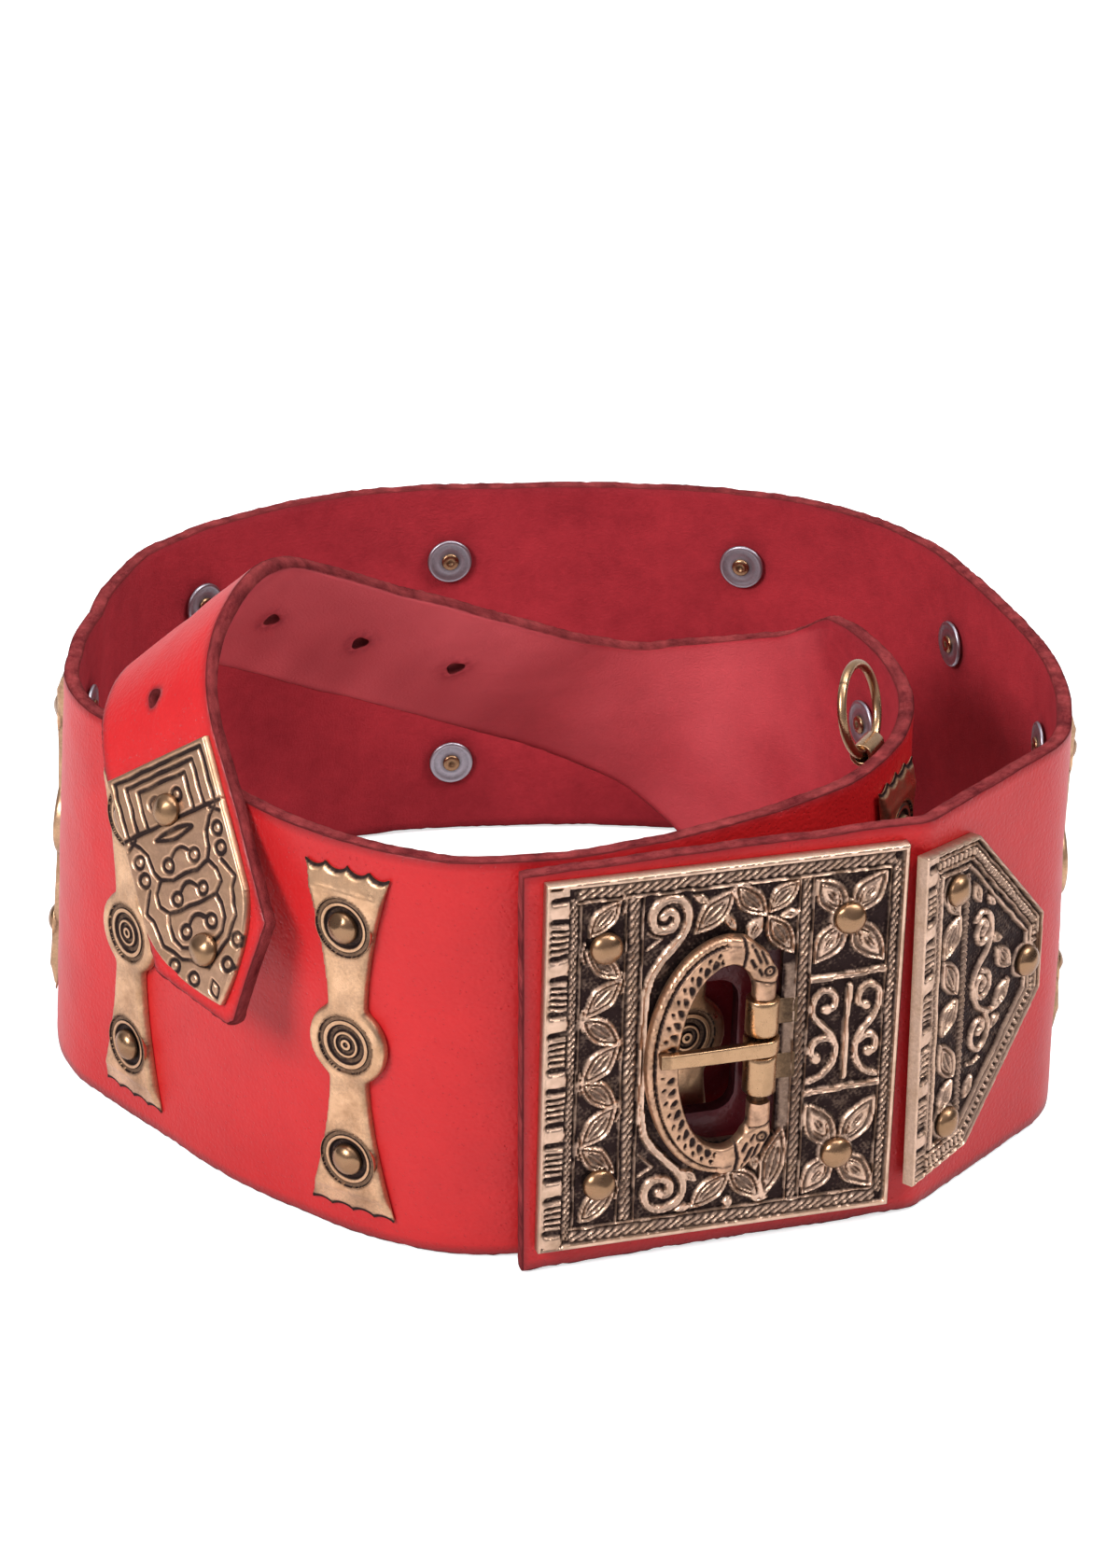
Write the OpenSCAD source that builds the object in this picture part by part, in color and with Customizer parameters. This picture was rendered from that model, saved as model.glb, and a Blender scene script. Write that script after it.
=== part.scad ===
// Wide leather military belt, coiled as it is laid down after wear, with a cast buckle plate,
// its counter plate, propeller stiffeners, a strap end and a suspension ring.
// The belt is one strip of leather. It is bent along straight rulings only, so it can be laid flat again.
// Origin: lower edge of the belt under the middle of the buckle. X runs along the belt there, Y into the waist.

/* [Leather] */
// Width of the band
band_w = 100; // [96:1:108]
// Thickness of the leather
leather_t = 3.6; // [3.2:0.1:3.8]
// Width of the fastening strap
strap_w = 36; // [34:1:42]
// Length of the strap's point
tip_l = 18; // [12:1:24]
// Width of the leather left at the point
tip_w = 2; // [1.6:0.2:4]
// Bevel along both faces of the cut edge
edge_bevel = 0.5; // [0.2:0.1:0.6]
// Where the band starts to narrow, along the belt
taper_from = 897; // [885:1:905]
// Where the strap's own width is reached, along the belt
taper_to = 992; // [975:1:1005]
// First strap hole, along the belt
first_hole = 1025; // [1005:1:1030]
// Distance between strap holes
hole_pitch = 30.3; // [24:0.1:31]
// Number of strap holes
hole_n = 5; // [3:1:5]
// Diameter of a strap hole
hole_d = 4; // [3:0.5:6]

/* [Buckle plate] */
// Distance of the plate's middle from the belt's cut end
plate_s = 46; // [45.5:0.1:46.5]
// Height of the plate's middle over the middle of the band
plate_up = 1; // [0:0.1:1.4]
// Turn of the plate on the leather, as it was riveted on
plate_turn = -1.2; // [-1.4:0.1:0]
// Length of the plate along the belt
plate_w = 84; // [80:1:84]
// Height of the plate
plate_h = 92; // [88:1:94]
// Thickness of the plate over its rim
plate_t = 3; // [2.6:0.1:3.4]
// Depth of the sunk field behind the rim
plate_sunk = 0.8; // [0.4:0.1:1]
// Width of the plain rim
rim_w = 3; // [2:0.5:4]
// Distance between the plate's rivets along the belt
plate_rivet_w = 56.6; // [52:0.2:60]
// Distance between the plate's rivets across the belt
plate_rivet_h = 59.6; // [56:0.2:64]
// Width of a carved divider between the panels
divider_w = 2; // [1.4:0.1:2.4]

/* [Buckle ring] */
// Length of the ring across the belt
ring_h = 59.4; // [56:0.2:62]
// Reach of the ring from its middle to the tongue's rest
ring_reach = 18.8; // [17:0.2:20]
// Width of the ring's band
ring_band = 7.2; // [6:0.2:7.6]
// Thickness of the ring
ring_t = 3.3; // [3:0.1:3.8]
// Step between the ring's outer edge and its punched band
ring_step = 2; // [1.4:0.1:2.4]
// Distance of the two heads from each other at the hinge bar
head_gap = 27.4; // [26.8:0.1:29]
// Diameter of the knuckle in which a head holds the bar
knuckle_d = 5.4; // [5:0.1:5.8]

/* [Hinge] */
// Diameter of the hinge bar
bar_d = 3; // [2.6:0.1:3.2]
// Distance of the bar from the ring's middle
bar_x = 8.2; // [7.8:0.1:8.6]
// Height of the bar over the back of the plate
bar_z = 4.4; // [4.2:0.1:4.6]
// Outer diameter of a hinge sleeve
sleeve_d = 7.6; // [7:0.1:7.8]
// Length of a hinge sleeve
sleeve_l = 8.8; // [7.6:0.1:9.2]
// Room between the sleeves on each side of the tongue
tongue_room = 0.7; // [0.4:0.1:0.9]
// Thickness of the leaf by which a sleeve is let in to the plate
leaf_t = 1.5; // [1.2:0.1:1.8]
// Height of that leaf
leaf_h = 6.4; // [5:0.1:7]
// Width of the tongue
tongue_w = 3.8; // [3:0.1:4.4]
// Thickness of the tongue
tongue_t = 2.2; // [2:0.1:2.4]
// Overlap of the tongue's tip on the ring's band
tongue_rest = 4.8; // [3:0.2:6]

/* [Counter plate] */
// Gap between the buckle plate's right edge and the counter plate's left edge
plate_gap = 0.6; // [0.4:0.1:2]
// Length of the counter plate along the belt
counter_w = 49; // [46:0.5:50]
// Height of its left edge
counter_h = 84; // [80:1:88]
// Height of its blunt point
point_h = 20; // [16:1:24]
// Length of its nearly level shoulder
shoulder_w = 21; // [18:0.5:24]
// Drop of the shoulder over that length
shoulder_drop = 2; // [0:0.5:4]

/* [Stiffeners] */
// Length of a stiffener across the belt
stiff_h = 88; // [84:1:90]
// Width of its flared ends
stiff_end_w = 23; // [20:0.5:25]
// Width of its necks
stiff_neck_w = 9.5; // [8:0.5:11]
// Diameter of its middle disc
stiff_disc_d = 20; // [18:0.5:22]
// Thickness of a stiffener
stiff_t = 2.4; // [2:0.1:2.4]
// Distance between its two rivets
stiff_rivet_h = 59; // [56:0.5:62]
// Turn of the last stiffener, which is riveted along the bend of the curl
last_turn = 7.5; // [6:0.5:9]
// Diameter of the turned ring motif
motif_d = 14; // [12:0.5:14.5]
// Depth of its grooves
motif_depth = 0.5; // [0.3:0.1:0.8]

/* [Strap end] */
// Width of the strap end plate
end_w = 31.6; // [28:0.2:33]
// Length of the strap end plate
end_l = 58; // [54:1:60]
// Length of its pointed part
end_point_l = 17; // [14:0.5:20]
// Thickness of the strap end plate
end_t = 2; // [1.6:0.1:2.4]
// Leather left bare beyond its point
end_margin = 4.5; // [3:0.5:7]
// First rivet from its square edge
end_rivet_1 = 12; // [10:0.5:14]
// Second rivet from its square edge
end_rivet_2 = 45; // [42:0.5:47]

/* [Rivets] */
// Diameter of a rivet's dome
dome_d = 7.6; // [7:0.1:7.8]
// Height of a rivet's dome
dome_h = 2.9; // [2.4:0.1:3]
// Diameter of a rivet's shank
shank_d = 3; // [2.4:0.1:3.2]
// Diameter of a washer
washer_d = 11.8; // [10.6:0.1:12]
// Thickness of a washer
washer_t = 1; // [0.8:0.1:1]
// Height of the peened end over its washer
peen_h = 0.7; // [0.4:0.1:0.8]
// Radial play of a shank in its hole
hole_play = 0.1; // [0.05:0.05:0.2]
// Play between a fitting and the grain side
seat = 0.15; // [0.1:0.05:0.2]
// Play between a washer and the hollow flesh side
washer_seat = 0.45; // [0.4:0.05:0.5]

/* [Suspension ring] */
// Outer diameter of the ring
susp_d = 23; // [21:0.5:25]
// Diameter of its wire
wire_d = 2.2; // [2:0.1:2.4]
// Lean of the ring from the wall towards the waist
susp_lean = 13; // [5:1:30]
// Width of the clip's strip
clip_w = 8.5; // [7:0.5:10]
// Thickness of the clip's strip
clip_t = 1; // [0.8:0.1:1.1]
// Distance of the clip's eye from the middle of the band
eye_up = 48.5; // [46:0.5:50]
// Inner diameter of the clip's eye
eye_d = 3.5; // [3.1:0.1:3.7]

/* [Hidden] */
$fn = 64;

red = [0.76, 0.16, 0.15];
brass = [0.66, 0.52, 0.33];
bright_brass = [0.78, 0.62, 0.36];
steel = [0.55, 0.55, 0.58];

eps = 0.01;
half_t = leather_t / 2;
cover = leather_t + seat + washer_seat + washer_t;
shank_r = shank_d / 2;
hole_r = shank_r + hole_play;
field_t = plate_t - plate_sunk;

// The leather bends between the two plates, past the buckle plate's edge, and is flat under the counter plate
corner_gap = 4;
corner_bend = 4;
front_l = 140;
// Course of the belt, run by run: [length, turn, slant of the ruling, rise of the strip in its own plane].
// The band goes round the waist once, passes behind the buckle, curls and narrows into the strap,
// and the strap climbs over the wall and hangs down outside it.
front_corner = plate_s + plate_w / 2 + corner_gap;
band_runs = [
  [front_corner, 0, 0, 0], [corner_bend, 33, 0, 0], [front_l - front_corner - corner_bend, 0, 0, 0],
  [16, 30, 0, 0], [34, 16, 0, 0], [34, 11, 0, 0],
  [34, 4, 0, 0], [80, 59, 0, 0], [80, 20, 0, 0], [80, 46, 0, 0], [72, 36, 0, 0], [36, 37.5, 0, 0],
  [36, 0, 0, 0], [60, 19.5, 0, 0], [50, 52.5, 0, 0], [50, 12.5, 0, 0], [80, 63.5, 0, 0]
];
strap_runs = [
  [30, 29.5, 15, 6.5], [30, 23, 4, 9.5], [30, 28, -8, -3], [30, 20.5, -22, 14.5], [82.5, 17, 3.5, 14.5],
  [26, 26, -18.5, 0], [22, 28, -10.5, -15.5], [28, 46, 0, 0], [44.5, 0, 0, 0]
];
runs = concat(band_runs, strap_runs, [[tip_l, 0, 0, 0]]);
step_turn = 5;
step_length = 18;
// Lean of the wall towards the waist, where the strap hangs over it
lean_table = [[500, 0], [540, 4], [568, 4], [606, 2.4], [642, 2.4], [684, 0]];

// Distances along the belt of the eleven stiffeners
stiffener_s = [188, 252, 329, 408, 481, 553, 623, 698, 775, 842, 898.5];
clip_stiffener = 9;
last_stiffener = 10;

function total(v, i = 0) = i == len(v) ? 0 : v[i][0] + total(v, i + 1);
function run_steps(r) = max(ceil(abs(r[1]) / step_turn), ceil(r[0] / step_length));
function slant_before(j) = j == 0 ? 0 : runs[j - 1][2];
steps = [
  for (j = [0 : len(runs) - 1])
    let (r = runs[j], n = run_steps(r), from = slant_before(j))
      for (i = [1 : n]) [r[0] / n, r[1] / n, from + (r[2] - from) * i / n, r[3] / n]
];
belt_l = total(runs);
corner_s = belt_l - tip_l;

// A frame is [middle of the strip, direction along it, direction across it, distance from the cut end]
function spin(v, k, a) = v * cos(a) + cross(k, v) * sin(a) + k * (k * v) * (1 - cos(a));
// Half of a step's bend, or a share of that half
function bend(f, st, share = 1) =
  let (g = cos(st[2]) * f[2] + sin(st[2]) * f[1],
       t = spin(f[1], g, share * st[1] / 2),
       w = spin(f[2], g, share * st[1] / 2),
       c = cos(share * st[3] / 2),
       s = sin(share * st[3] / 2))
    [f[0], t * c + w * s, w * c - t * s, f[3]];
function advance(f, d) = [f[0] + f[1] * d, f[1], f[2], f[3] + d];
first_frame = [[-plate_s, 0, band_w / 2], [1, 0, 0], [0, 0, 1], 0];
frames = [
  for (i = 0, f = first_frame; i <= len(steps);
       f = i < len(steps) ? bend(advance(bend(f, steps[i]), steps[i][0]), steps[i]) : f, i = i + 1)
    f
];
function outward(f) = cross(f[1], f[2]);
function leaned(f) =
  let (a = lookup(f[3], lean_table), w = cos(a) * f[2] - sin(a) * outward(f))
    [f[0] + (w - f[2]) * band_w / 2, f[1], w, f[3]];
function step_at(s) = min(len([for (f = frames) if (f[3] <= s) 1]), len(steps)) - 1;
// Frame at any distance, tangent to the smooth course
function frame_at(s) =
  let (i = step_at(s), d = s - frames[i][3])
    leaned(bend(advance(bend(frames[i], steps[i]), d), steps[i], 2 * d / steps[i][0] - 1));

function ease(t) = (1 + cos(180 * min(max(t, 0), 1))) / 2;
function strip_w(s) =
  s <= corner_s
    ? strap_w + (band_w - strap_w) * ease((s - taper_from) / (taper_to - taper_from))
    : tip_w + (strap_w - tip_w) * (belt_l - s) / tip_l;

// Cross-section of the strip on one ruling, counter-clockwise seen against its course
function section(hw, ht, b) = [
  [hw, b - ht], [hw, ht - b], [hw - b, ht], [b - hw, ht],
  [-hw, ht - b], [-hw, b - ht], [b - hw, -ht], [hw - b, -ht]
];
function ruling_slant(i) = i == 0 ? 0 : steps[i - 1][2];
function ring_points(i) =
  let (f = leaned(frames[i]),
       a = ruling_slant(i),
       g = f[2] + tan(a) * f[1])
    [for (p = section(strip_w(f[3]) / 2, half_t, edge_bevel)) f[0] + g * p[0] + outward(f) * p[1]];
strip_points = [for (i = [0 : len(frames) - 1]) each ring_points(i)];
strip_faces = concat(
  [[0, 1, 2, 3, 4, 5, 6, 7]],
  [for (i = [0 : len(steps) - 1], k = [0 : 7])
    let (a = 8 * i + k, b = 8 * i + (k + 1) % 8)
      each [[a, a + 8, b + 8], [a, b + 8, b]]],
  [[for (k = [7 : -1 : 0]) 8 * len(steps) + k]]
);

// Puts a fitting drawn flat, X along the belt, Y across and Z outward, on the belt
module on_belt(s, across = 0, proud = 0) {
  f = frame_at(s);
  n = outward(f);
  p = f[0] + f[2] * across + n * proud;
  multmatrix([
    [f[1][0], f[2][0], n[0], p[0]],
    [f[1][1], f[2][1], n[1], p[1]],
    [f[1][2], f[2][2], n[2], p[2]],
    [0, 0, 0, 1]
  ]) children();
}
// Z is zero on the back of each fitting
module on_buckle() {
  on_belt(plate_s, plate_up, half_t + seat) rotate([0, 0, plate_turn]) children();
}
counter_s = plate_s + plate_w / 2 + plate_gap;
// The counter plate lies tangent to the leather at this distance from its left edge
counter_seat = counter_w * 0.6;
module on_counter() {
  on_belt(counter_s + counter_seat, plate_up, half_t + seat) translate([-counter_seat, 0, 0]) children();
}
module on_stiffener(i) {
  on_belt(stiffener_s[i], 0, half_t + seat) rotate([0, 0, i == last_stiffener ? -last_turn : 0]) children();
}
// The strap end lies on the strap with Y up the strap from the plate's point
module on_strap_end() {
  on_belt(belt_l - end_margin - end_l / 2, 0, half_t + seat) translate([-end_l / 2, 0, 0]) children();
}

plate_rivet_xy = [for (x = [-1, 1], y = [-1, 1]) [x * plate_rivet_w / 2, y * plate_rivet_h / 2]];
counter_rivet_1 = 12;
counter_rivet_2 = counter_w - 7;
counter_rivet_xy = [
  [counter_rivet_1, plate_rivet_h / 2], [counter_rivet_1, -plate_rivet_h / 2], [counter_rivet_2, 0]
];
stiffener_rivet_xy = [[0, stiff_rivet_h / 2], [0, -stiff_rivet_h / 2]];
end_rivet_xy = [[end_rivet_1, 0], [end_rivet_2, 0]];

module at_each(places) {
  for (p = places) translate([p[0], p[1], 0]) children();
}
// One rivet through a fitting of thickness t: dome, shank and peened end. extra is held besides a washer.
peen_tip = 0.3;
peen_spread = 0.7;
peen_lift = 0.05;
module rivet(t, extra = 0) {
  back = cover + extra + peen_h;
  peen_r = shank_r + peen_spread;
  peen_top = peen_h - peen_lift;
  rotate_extrude() polygon(concat(
    [[0, -back], [shank_r, -back], [shank_r, t], [dome_d / 2, t]],
    [for (a = [10 : 10 : 90]) [dome_d / 2 * cos(a), t + dome_h * sin(a)]]
  ));
  translate([0, 0, -back]) rotate_extrude()
    polygon([[0, -eps], [shank_r + peen_tip, 0], [peen_r, peen_h / 2], [peen_r, peen_top], [0, peen_top]]);
}
module washer() {
  translate([0, 0, -cover]) difference() {
    cylinder(d = washer_d, h = washer_t);
    translate([0, 0, -1]) cylinder(r = hole_r, h = washer_t + 2);
  }
}
module rivet_hole(t) {
  translate([0, 0, -1]) cylinder(r = hole_r, h = t + 2);
}
// A cut through the leather runs past both its faces
through = 1.5;
module leather_hole(r) {
  translate([0, 0, -seat - leather_t - through]) cylinder(r = r, h = leather_t + 2 * through);
}

// Opening of the leather behind the buckle, and the steps between it, the plate's opening and the ring
slot_left = 13;
slot_right = 4.2;
slot_h = 33;
slot_r = 5;
module leather_slot() {
  translate([(slot_right - slot_left) / 2, 0, -seat - leather_t - through])
    linear_extrude(leather_t + 2 * through) union() {
      square([slot_left + slot_right, slot_h - 2 * slot_r], center = true);
      square([slot_left + slot_right - 2 * slot_r, slot_h], center = true);
      for (x = [-1, 1], y = [-1, 1])
        translate([x * ((slot_left + slot_right) / 2 - slot_r), y * (slot_h / 2 - slot_r)]) circle(slot_r);
    }
}

module belt_leather() {
  color(red) difference() {
    polyhedron(points = strip_points, faces = strip_faces);
    on_buckle() {
      at_each(plate_rivet_xy) leather_hole(hole_r);
      leather_slot();
    }
    on_counter() at_each(counter_rivet_xy) leather_hole(hole_r);
    for (i = [0 : len(stiffener_s) - 1]) on_stiffener(i) at_each(stiffener_rivet_xy) leather_hole(hole_r);
    on_strap_end() at_each(end_rivet_xy) leather_hole(hole_r);
    for (i = [0 : hole_n - 1]) on_belt(first_hole + i * hole_pitch, 0, half_t + seat) leather_hole(hole_d / 2);
  }
}

// Ring outline: half an ellipse on the left and an arm to each head on the right
ring_in_x = ring_reach - ring_band;
ring_in_y = ring_h / 2 - ring_band * 0.89;
head_y = head_gap / 2;
knuckle_r = knuckle_d / 2;
knuckle_l = 4.4;
function half_ellipse(a, b, from, to, n) =
  [for (i = [0 : n]) let (t = from + (to - from) * i / n) [a * cos(t), b * sin(t)]];
// Bends of an arm outside: distance from the ring's middle, drop below its top, and how far d moves each
arm_bends = [[3.4, 0.6, 0, 1], [8.4, 4.4, 0.7, 0.7]];
brow_drop = 8.8;
neck_in = 0.3;
muzzle_l = 6.8;
throat = [[4.2, head_y + muzzle_l], [2.4, ring_in_y - 0.6]];
// From the top of the ellipse to the head, then from the head to the inner ellipse; d narrows it from outside
function arm_outside(d) = concat(
  [for (b = arm_bends) [b[0] - b[2] * d, ring_h / 2 - b[1] - b[3] * d]],
  [[bar_x + knuckle_r - d, ring_h / 2 - brow_drop - d * 0.4], [bar_x + knuckle_r - d, head_y + knuckle_l]]
);
arm_inside = concat([[bar_x - knuckle_r - neck_in, head_y + knuckle_l]], throat);
function below(v) = [for (p = v) [p[0], -p[1]]];
function backwards(v) = [for (i = [len(v) - 1 : -1 : 0]) v[i]];
module ring_profile(d) {
  polygon(concat(
    half_ellipse(ring_reach - d, ring_h / 2 - d, 90, 270, 28),
    below(arm_outside(d)),
    below(arm_inside),
    half_ellipse(ring_in_x, ring_in_y, 270, 90, 24),
    backwards(arm_inside),
    backwards(arm_outside(d))
  ));
}

// The ring lies on the plate; its bar is held in the knuckles of the two heads
ring_z = plate_t + seat;
ring_foot = 0.7;
ring_foot_in = 0.8;
step_z = ring_t * 0.68;
knuckle_over = 0.4;
module buckle_ring() {
  color(bright_brass) on_buckle() difference() {
    union() {
      translate([0, 0, ring_z]) linear_extrude(ring_foot + eps) ring_profile(ring_foot_in);
      translate([0, 0, ring_z + ring_foot]) linear_extrude(step_z - ring_foot) ring_profile(0);
      translate([0, 0, ring_z + ring_foot]) linear_extrude(ring_t - ring_foot) ring_profile(ring_step);
      for (side = [-1, 1])
        translate([bar_x, side * (head_y + knuckle_l / 2 + knuckle_over), bar_z]) rotate([90, 0, 0])
          cylinder(r = knuckle_r, h = knuckle_l + 2 * knuckle_over, center = true);
    }
    translate([bar_x, 0, bar_z]) rotate([90, 0, 0])
      cylinder(r = bar_d / 2 + bar_fit, h = 2 * (head_y + knuckle_l - bar_end), center = true);
  }
}
// Play of the bar in the knuckles, in which it is riveted fast, and of what turns on it
bar_fit = 0.02;
bar_play = 0.05;
bar_end = 0.6;
module hinge_bar() {
  color(brass) on_buckle() translate([bar_x, 0, bar_z]) rotate([90, 0, 0])
    cylinder(d = bar_d, h = 2 * (head_y + knuckle_l - bar_end - bar_play), center = true);
}

// The hinge in the plate: two sleeves with the tongue between them, pushed up against the upper head
sleeve_gap = tongue_w + 2 * tongue_room;
head_play = 0.2;
hinge_up = head_y - head_play - sleeve_l - sleeve_gap / 2;
notch_right = bar_x + sleeve_d / 2 + 1.5;
leaf_root = bar_x + 2;
leaf_past_notch = 3.9;
leaf_reach = notch_right + leaf_past_notch;
leaf_proud = 0.3;
leaf_z = field_t - leaf_t + leaf_proud;
pocket_play = 0.05;
pocket_mouth = 1;
function sleeve_y(side) = hinge_up + side * (sleeve_gap + sleeve_l) / 2;
function leaf_y(side) = sleeve_y(side) - (sleeve_l - leaf_h) * 0.42;
module sleeve(side) {
  color(bright_brass) on_buckle() difference() {
    union() {
      translate([bar_x, sleeve_y(side), bar_z]) rotate([90, 0, 0])
        cylinder(d = sleeve_d, h = sleeve_l, center = true);
      translate([leaf_root, leaf_y(side) - leaf_h / 2, leaf_z]) cube([leaf_reach - leaf_root, leaf_h, leaf_t]);
    }
    translate([bar_x, sleeve_y(side), bar_z]) rotate([90, 0, 0])
      cylinder(r = bar_d / 2 + bar_play, h = sleeve_l + 2, center = true);
  }
}
module hinge_sleeve_upper() {
  sleeve(1);
}
module hinge_sleeve_lower() {
  sleeve(-1);
}

// The tongue is a bar rolled round the hinge bar; its flat tip rests on the ring
tongue_z = ring_z + ring_t + seat;
tongue_top = tongue_z + tongue_t;
tongue_eye_r = 4.1;
tongue_tip = ring_in_x + tongue_rest;
tip_fall = 0.6;
tip_length = 1;
module tongue() {
  color(bright_brass) on_buckle() translate([0, hinge_up, 0]) rotate([90, 0, 0]) difference() {
    linear_extrude(tongue_w, center = true) union() {
      translate([bar_x, tongue_top - tongue_eye_r]) circle(tongue_eye_r);
      polygon([
        [bar_x, tongue_z], [bar_x, tongue_top], [tip_length - tongue_tip, tongue_top],
        [-tongue_tip, tongue_top - tip_fall], [-tongue_tip, tongue_z]
      ]);
    }
    translate([bar_x, bar_z, 0]) cylinder(r = bar_d / 2 + bar_play, h = tongue_w + 2, center = true);
  }
}

// Moves each side of a convex outline, given counter-clockwise, inwards by d
function edge_normal(a, b) = let (v = b - a) [v[1], -v[0]] / norm(v);
function inset(v, d) = [
  for (i = [0 : len(v) - 1])
    let (p = v[i],
         n = edge_normal(v[(i + len(v) - 1) % len(v)], p),
         m = edge_normal(p, v[(i + 1) % len(v)]))
      p - (n + m) * d / (1 + n * m)
];

// Cast plate, carved behind a plain rim: left border, middle field round the ring, right column of panels
plate_outline = [for (c = [[-1, -1], [1, -1], [1, 1], [-1, 1]]) [c[0] * plate_w / 2, c[1] * plate_h / 2]];
ledge_x = 1.6;
ledge_y = 0.2;
opening_x = ring_in_x + ledge_x;
opening_y = ring_in_y + ledge_y;
left_border = 6;
left_panel = 20;
column_x = 18.8;
divider_x = [left_border - plate_w / 2, left_panel - plate_w / 2, column_x];
column_bar_y = [15.4, -13.4];
boss_d = dome_d + 1;
module plate_opening() {
  translate([0, 0, -1]) linear_extrude(plate_t + 2) union() {
    polygon(half_ellipse(opening_x, opening_y, 90, 270, 24));
    translate([-eps, -opening_y]) square([notch_right + eps, 2 * opening_y]);
  }
}
module buckle_plate() {
  inner_h = plate_h - 2 * rim_w + 2 * eps;
  color(brass) on_buckle() difference() {
    union() {
      linear_extrude(field_t) polygon(plate_outline);
      linear_extrude(plate_t) difference() {
        polygon(plate_outline);
        polygon(inset(plate_outline, rim_w));
      }
      for (x = divider_x) translate([x - divider_w / 2, -inner_h / 2, 0]) cube([divider_w, inner_h, plate_t]);
      for (y = column_bar_y)
        translate([column_x, y - divider_w / 2, 0])
          cube([plate_w / 2 - column_x - rim_w / 2, divider_w, plate_t]);
      at_each(plate_rivet_xy) cylinder(d = boss_d, h = plate_t);
    }
    plate_opening();
    at_each(plate_rivet_xy) rivet_hole(plate_t);
    for (side = [-1, 1])
      translate([notch_right - pocket_mouth, leaf_y(side) - leaf_h / 2 - pocket_play, leaf_z - pocket_play])
        cube([leaf_reach - notch_right + pocket_mouth + pocket_play, leaf_h + 2 * pocket_play, plate_t]);
  }
}

counter_outline = [
  [0, -counter_h / 2], [shoulder_w, shoulder_drop - counter_h / 2], [counter_w, -point_h / 2],
  [counter_w, point_h / 2], [shoulder_w, counter_h / 2 - shoulder_drop], [0, counter_h / 2]
];
counter_divider_x = [6.5, 15.5];
module counter_plate() {
  color(brass) on_counter() difference() {
    union() {
      linear_extrude(field_t) polygon(counter_outline);
      linear_extrude(plate_t) difference() {
        polygon(counter_outline);
        polygon(inset(counter_outline, rim_w));
      }
      for (x = counter_divider_x)
        translate([x - divider_w / 2, rim_w / 2 - counter_h / 2, 0])
          cube([divider_w, counter_h - rim_w, plate_t]);
      at_each(counter_rivet_xy) cylinder(d = boss_d, h = plate_t);
    }
    at_each(counter_rivet_xy) rivet_hole(plate_t);
  }
}

// Propeller stiffener: a disc between two blades that flare in a curve to scalloped ends
blade_steps = 8;
blade_root = 0.4;
flare = 1.7;
scallop_n = 3;
scallop_out = 0.3;
scallop_over = 1.12;
function blade_half_w(t) = (stiff_neck_w + (stiff_end_w - stiff_neck_w) * pow(t, flare)) / 2;
module blade() {
  y0 = stiff_disc_d * blade_root;
  rise = stiff_h / 2 - y0;
  scallop = stiff_end_w / scallop_n;
  difference() {
    polygon(concat(
      [for (i = [0 : blade_steps]) let (t = i / blade_steps) [blade_half_w(t), y0 + rise * t]],
      [for (i = [blade_steps : -1 : 0]) let (t = i / blade_steps) [-blade_half_w(t), y0 + rise * t]]
    ));
    for (i = [0 : scallop_n - 1])
      translate([(i - (scallop_n - 1) / 2) * scallop, stiff_h / 2 + scallop * scallop_out])
        circle(d = scallop * scallop_over);
  }
}
groove_w = 0.8;
groove_apart = 2;
module motif_groove(r) {
  translate([0, 0, stiff_t - motif_depth]) rotate_extrude() translate([r, 0])
    square([groove_w, motif_depth + 1]);
}
module motif() {
  motif_groove(motif_d / 2 - groove_w);
  motif_groove(motif_d / 2 - groove_w - groove_apart);
}
module stiffener(i) {
  color(bright_brass) on_stiffener(i) difference() {
    linear_extrude(stiff_t) union() {
      circle(d = stiff_disc_d);
      blade();
      mirror([0, 1]) blade();
    }
    at_each(stiffener_rivet_xy) rivet_hole(stiff_t);
    at_each(concat(stiffener_rivet_xy, [[0, 0]])) motif();
  }
}

// Strap end plate, square at one end and ogee-pointed at the other
ogee_x = 0.55;
ogee_y = 0.52;
module strap_end() {
  half = end_w / 2;
  neck = end_l - end_point_l;
  waist = neck + end_point_l * ogee_x;
  color(bright_brass) on_strap_end() difference() {
    linear_extrude(end_t) polygon([
      [0, -half], [neck, -half], [waist, -half * ogee_y], [end_l, 0],
      [waist, half * ogee_y], [neck, half], [0, half]
    ]);
    at_each(end_rivet_xy) rivet_hole(end_t);
  }
}

module plate_rivets() {
  color(brass) on_buckle() at_each(plate_rivet_xy) rivet(plate_t);
}
module plate_washers() {
  color(steel) on_buckle() at_each(plate_rivet_xy) washer();
}
module counter_rivets() {
  color(brass) on_counter() at_each(counter_rivet_xy) rivet(plate_t);
}
module counter_washers() {
  color(steel) on_counter() at_each(counter_rivet_xy) washer();
}
// The clip takes the washer's place under the upper rivet of one stiffener
clip_extra = 2 * clip_t - washer_t;
module stiffener_rivets() {
  color(brass) for (i = [0 : len(stiffener_s) - 1], j = [0, 1])
    on_stiffener(i) at_each([stiffener_rivet_xy[j]])
      rivet(stiff_t, i == clip_stiffener && j == 0 ? clip_extra : 0);
}
module stiffener_washers() {
  color(steel) for (i = [0 : len(stiffener_s) - 1], j = [0, 1])
    if (i != clip_stiffener || j == 1) on_stiffener(i) at_each([stiffener_rivet_xy[j]]) washer();
}
module strap_end_rivets() {
  color(brass) on_strap_end() at_each(end_rivet_xy) rivet(end_t);
}
module strap_end_washers() {
  color(steel) on_strap_end() at_each(end_rivet_xy) washer();
}

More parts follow.
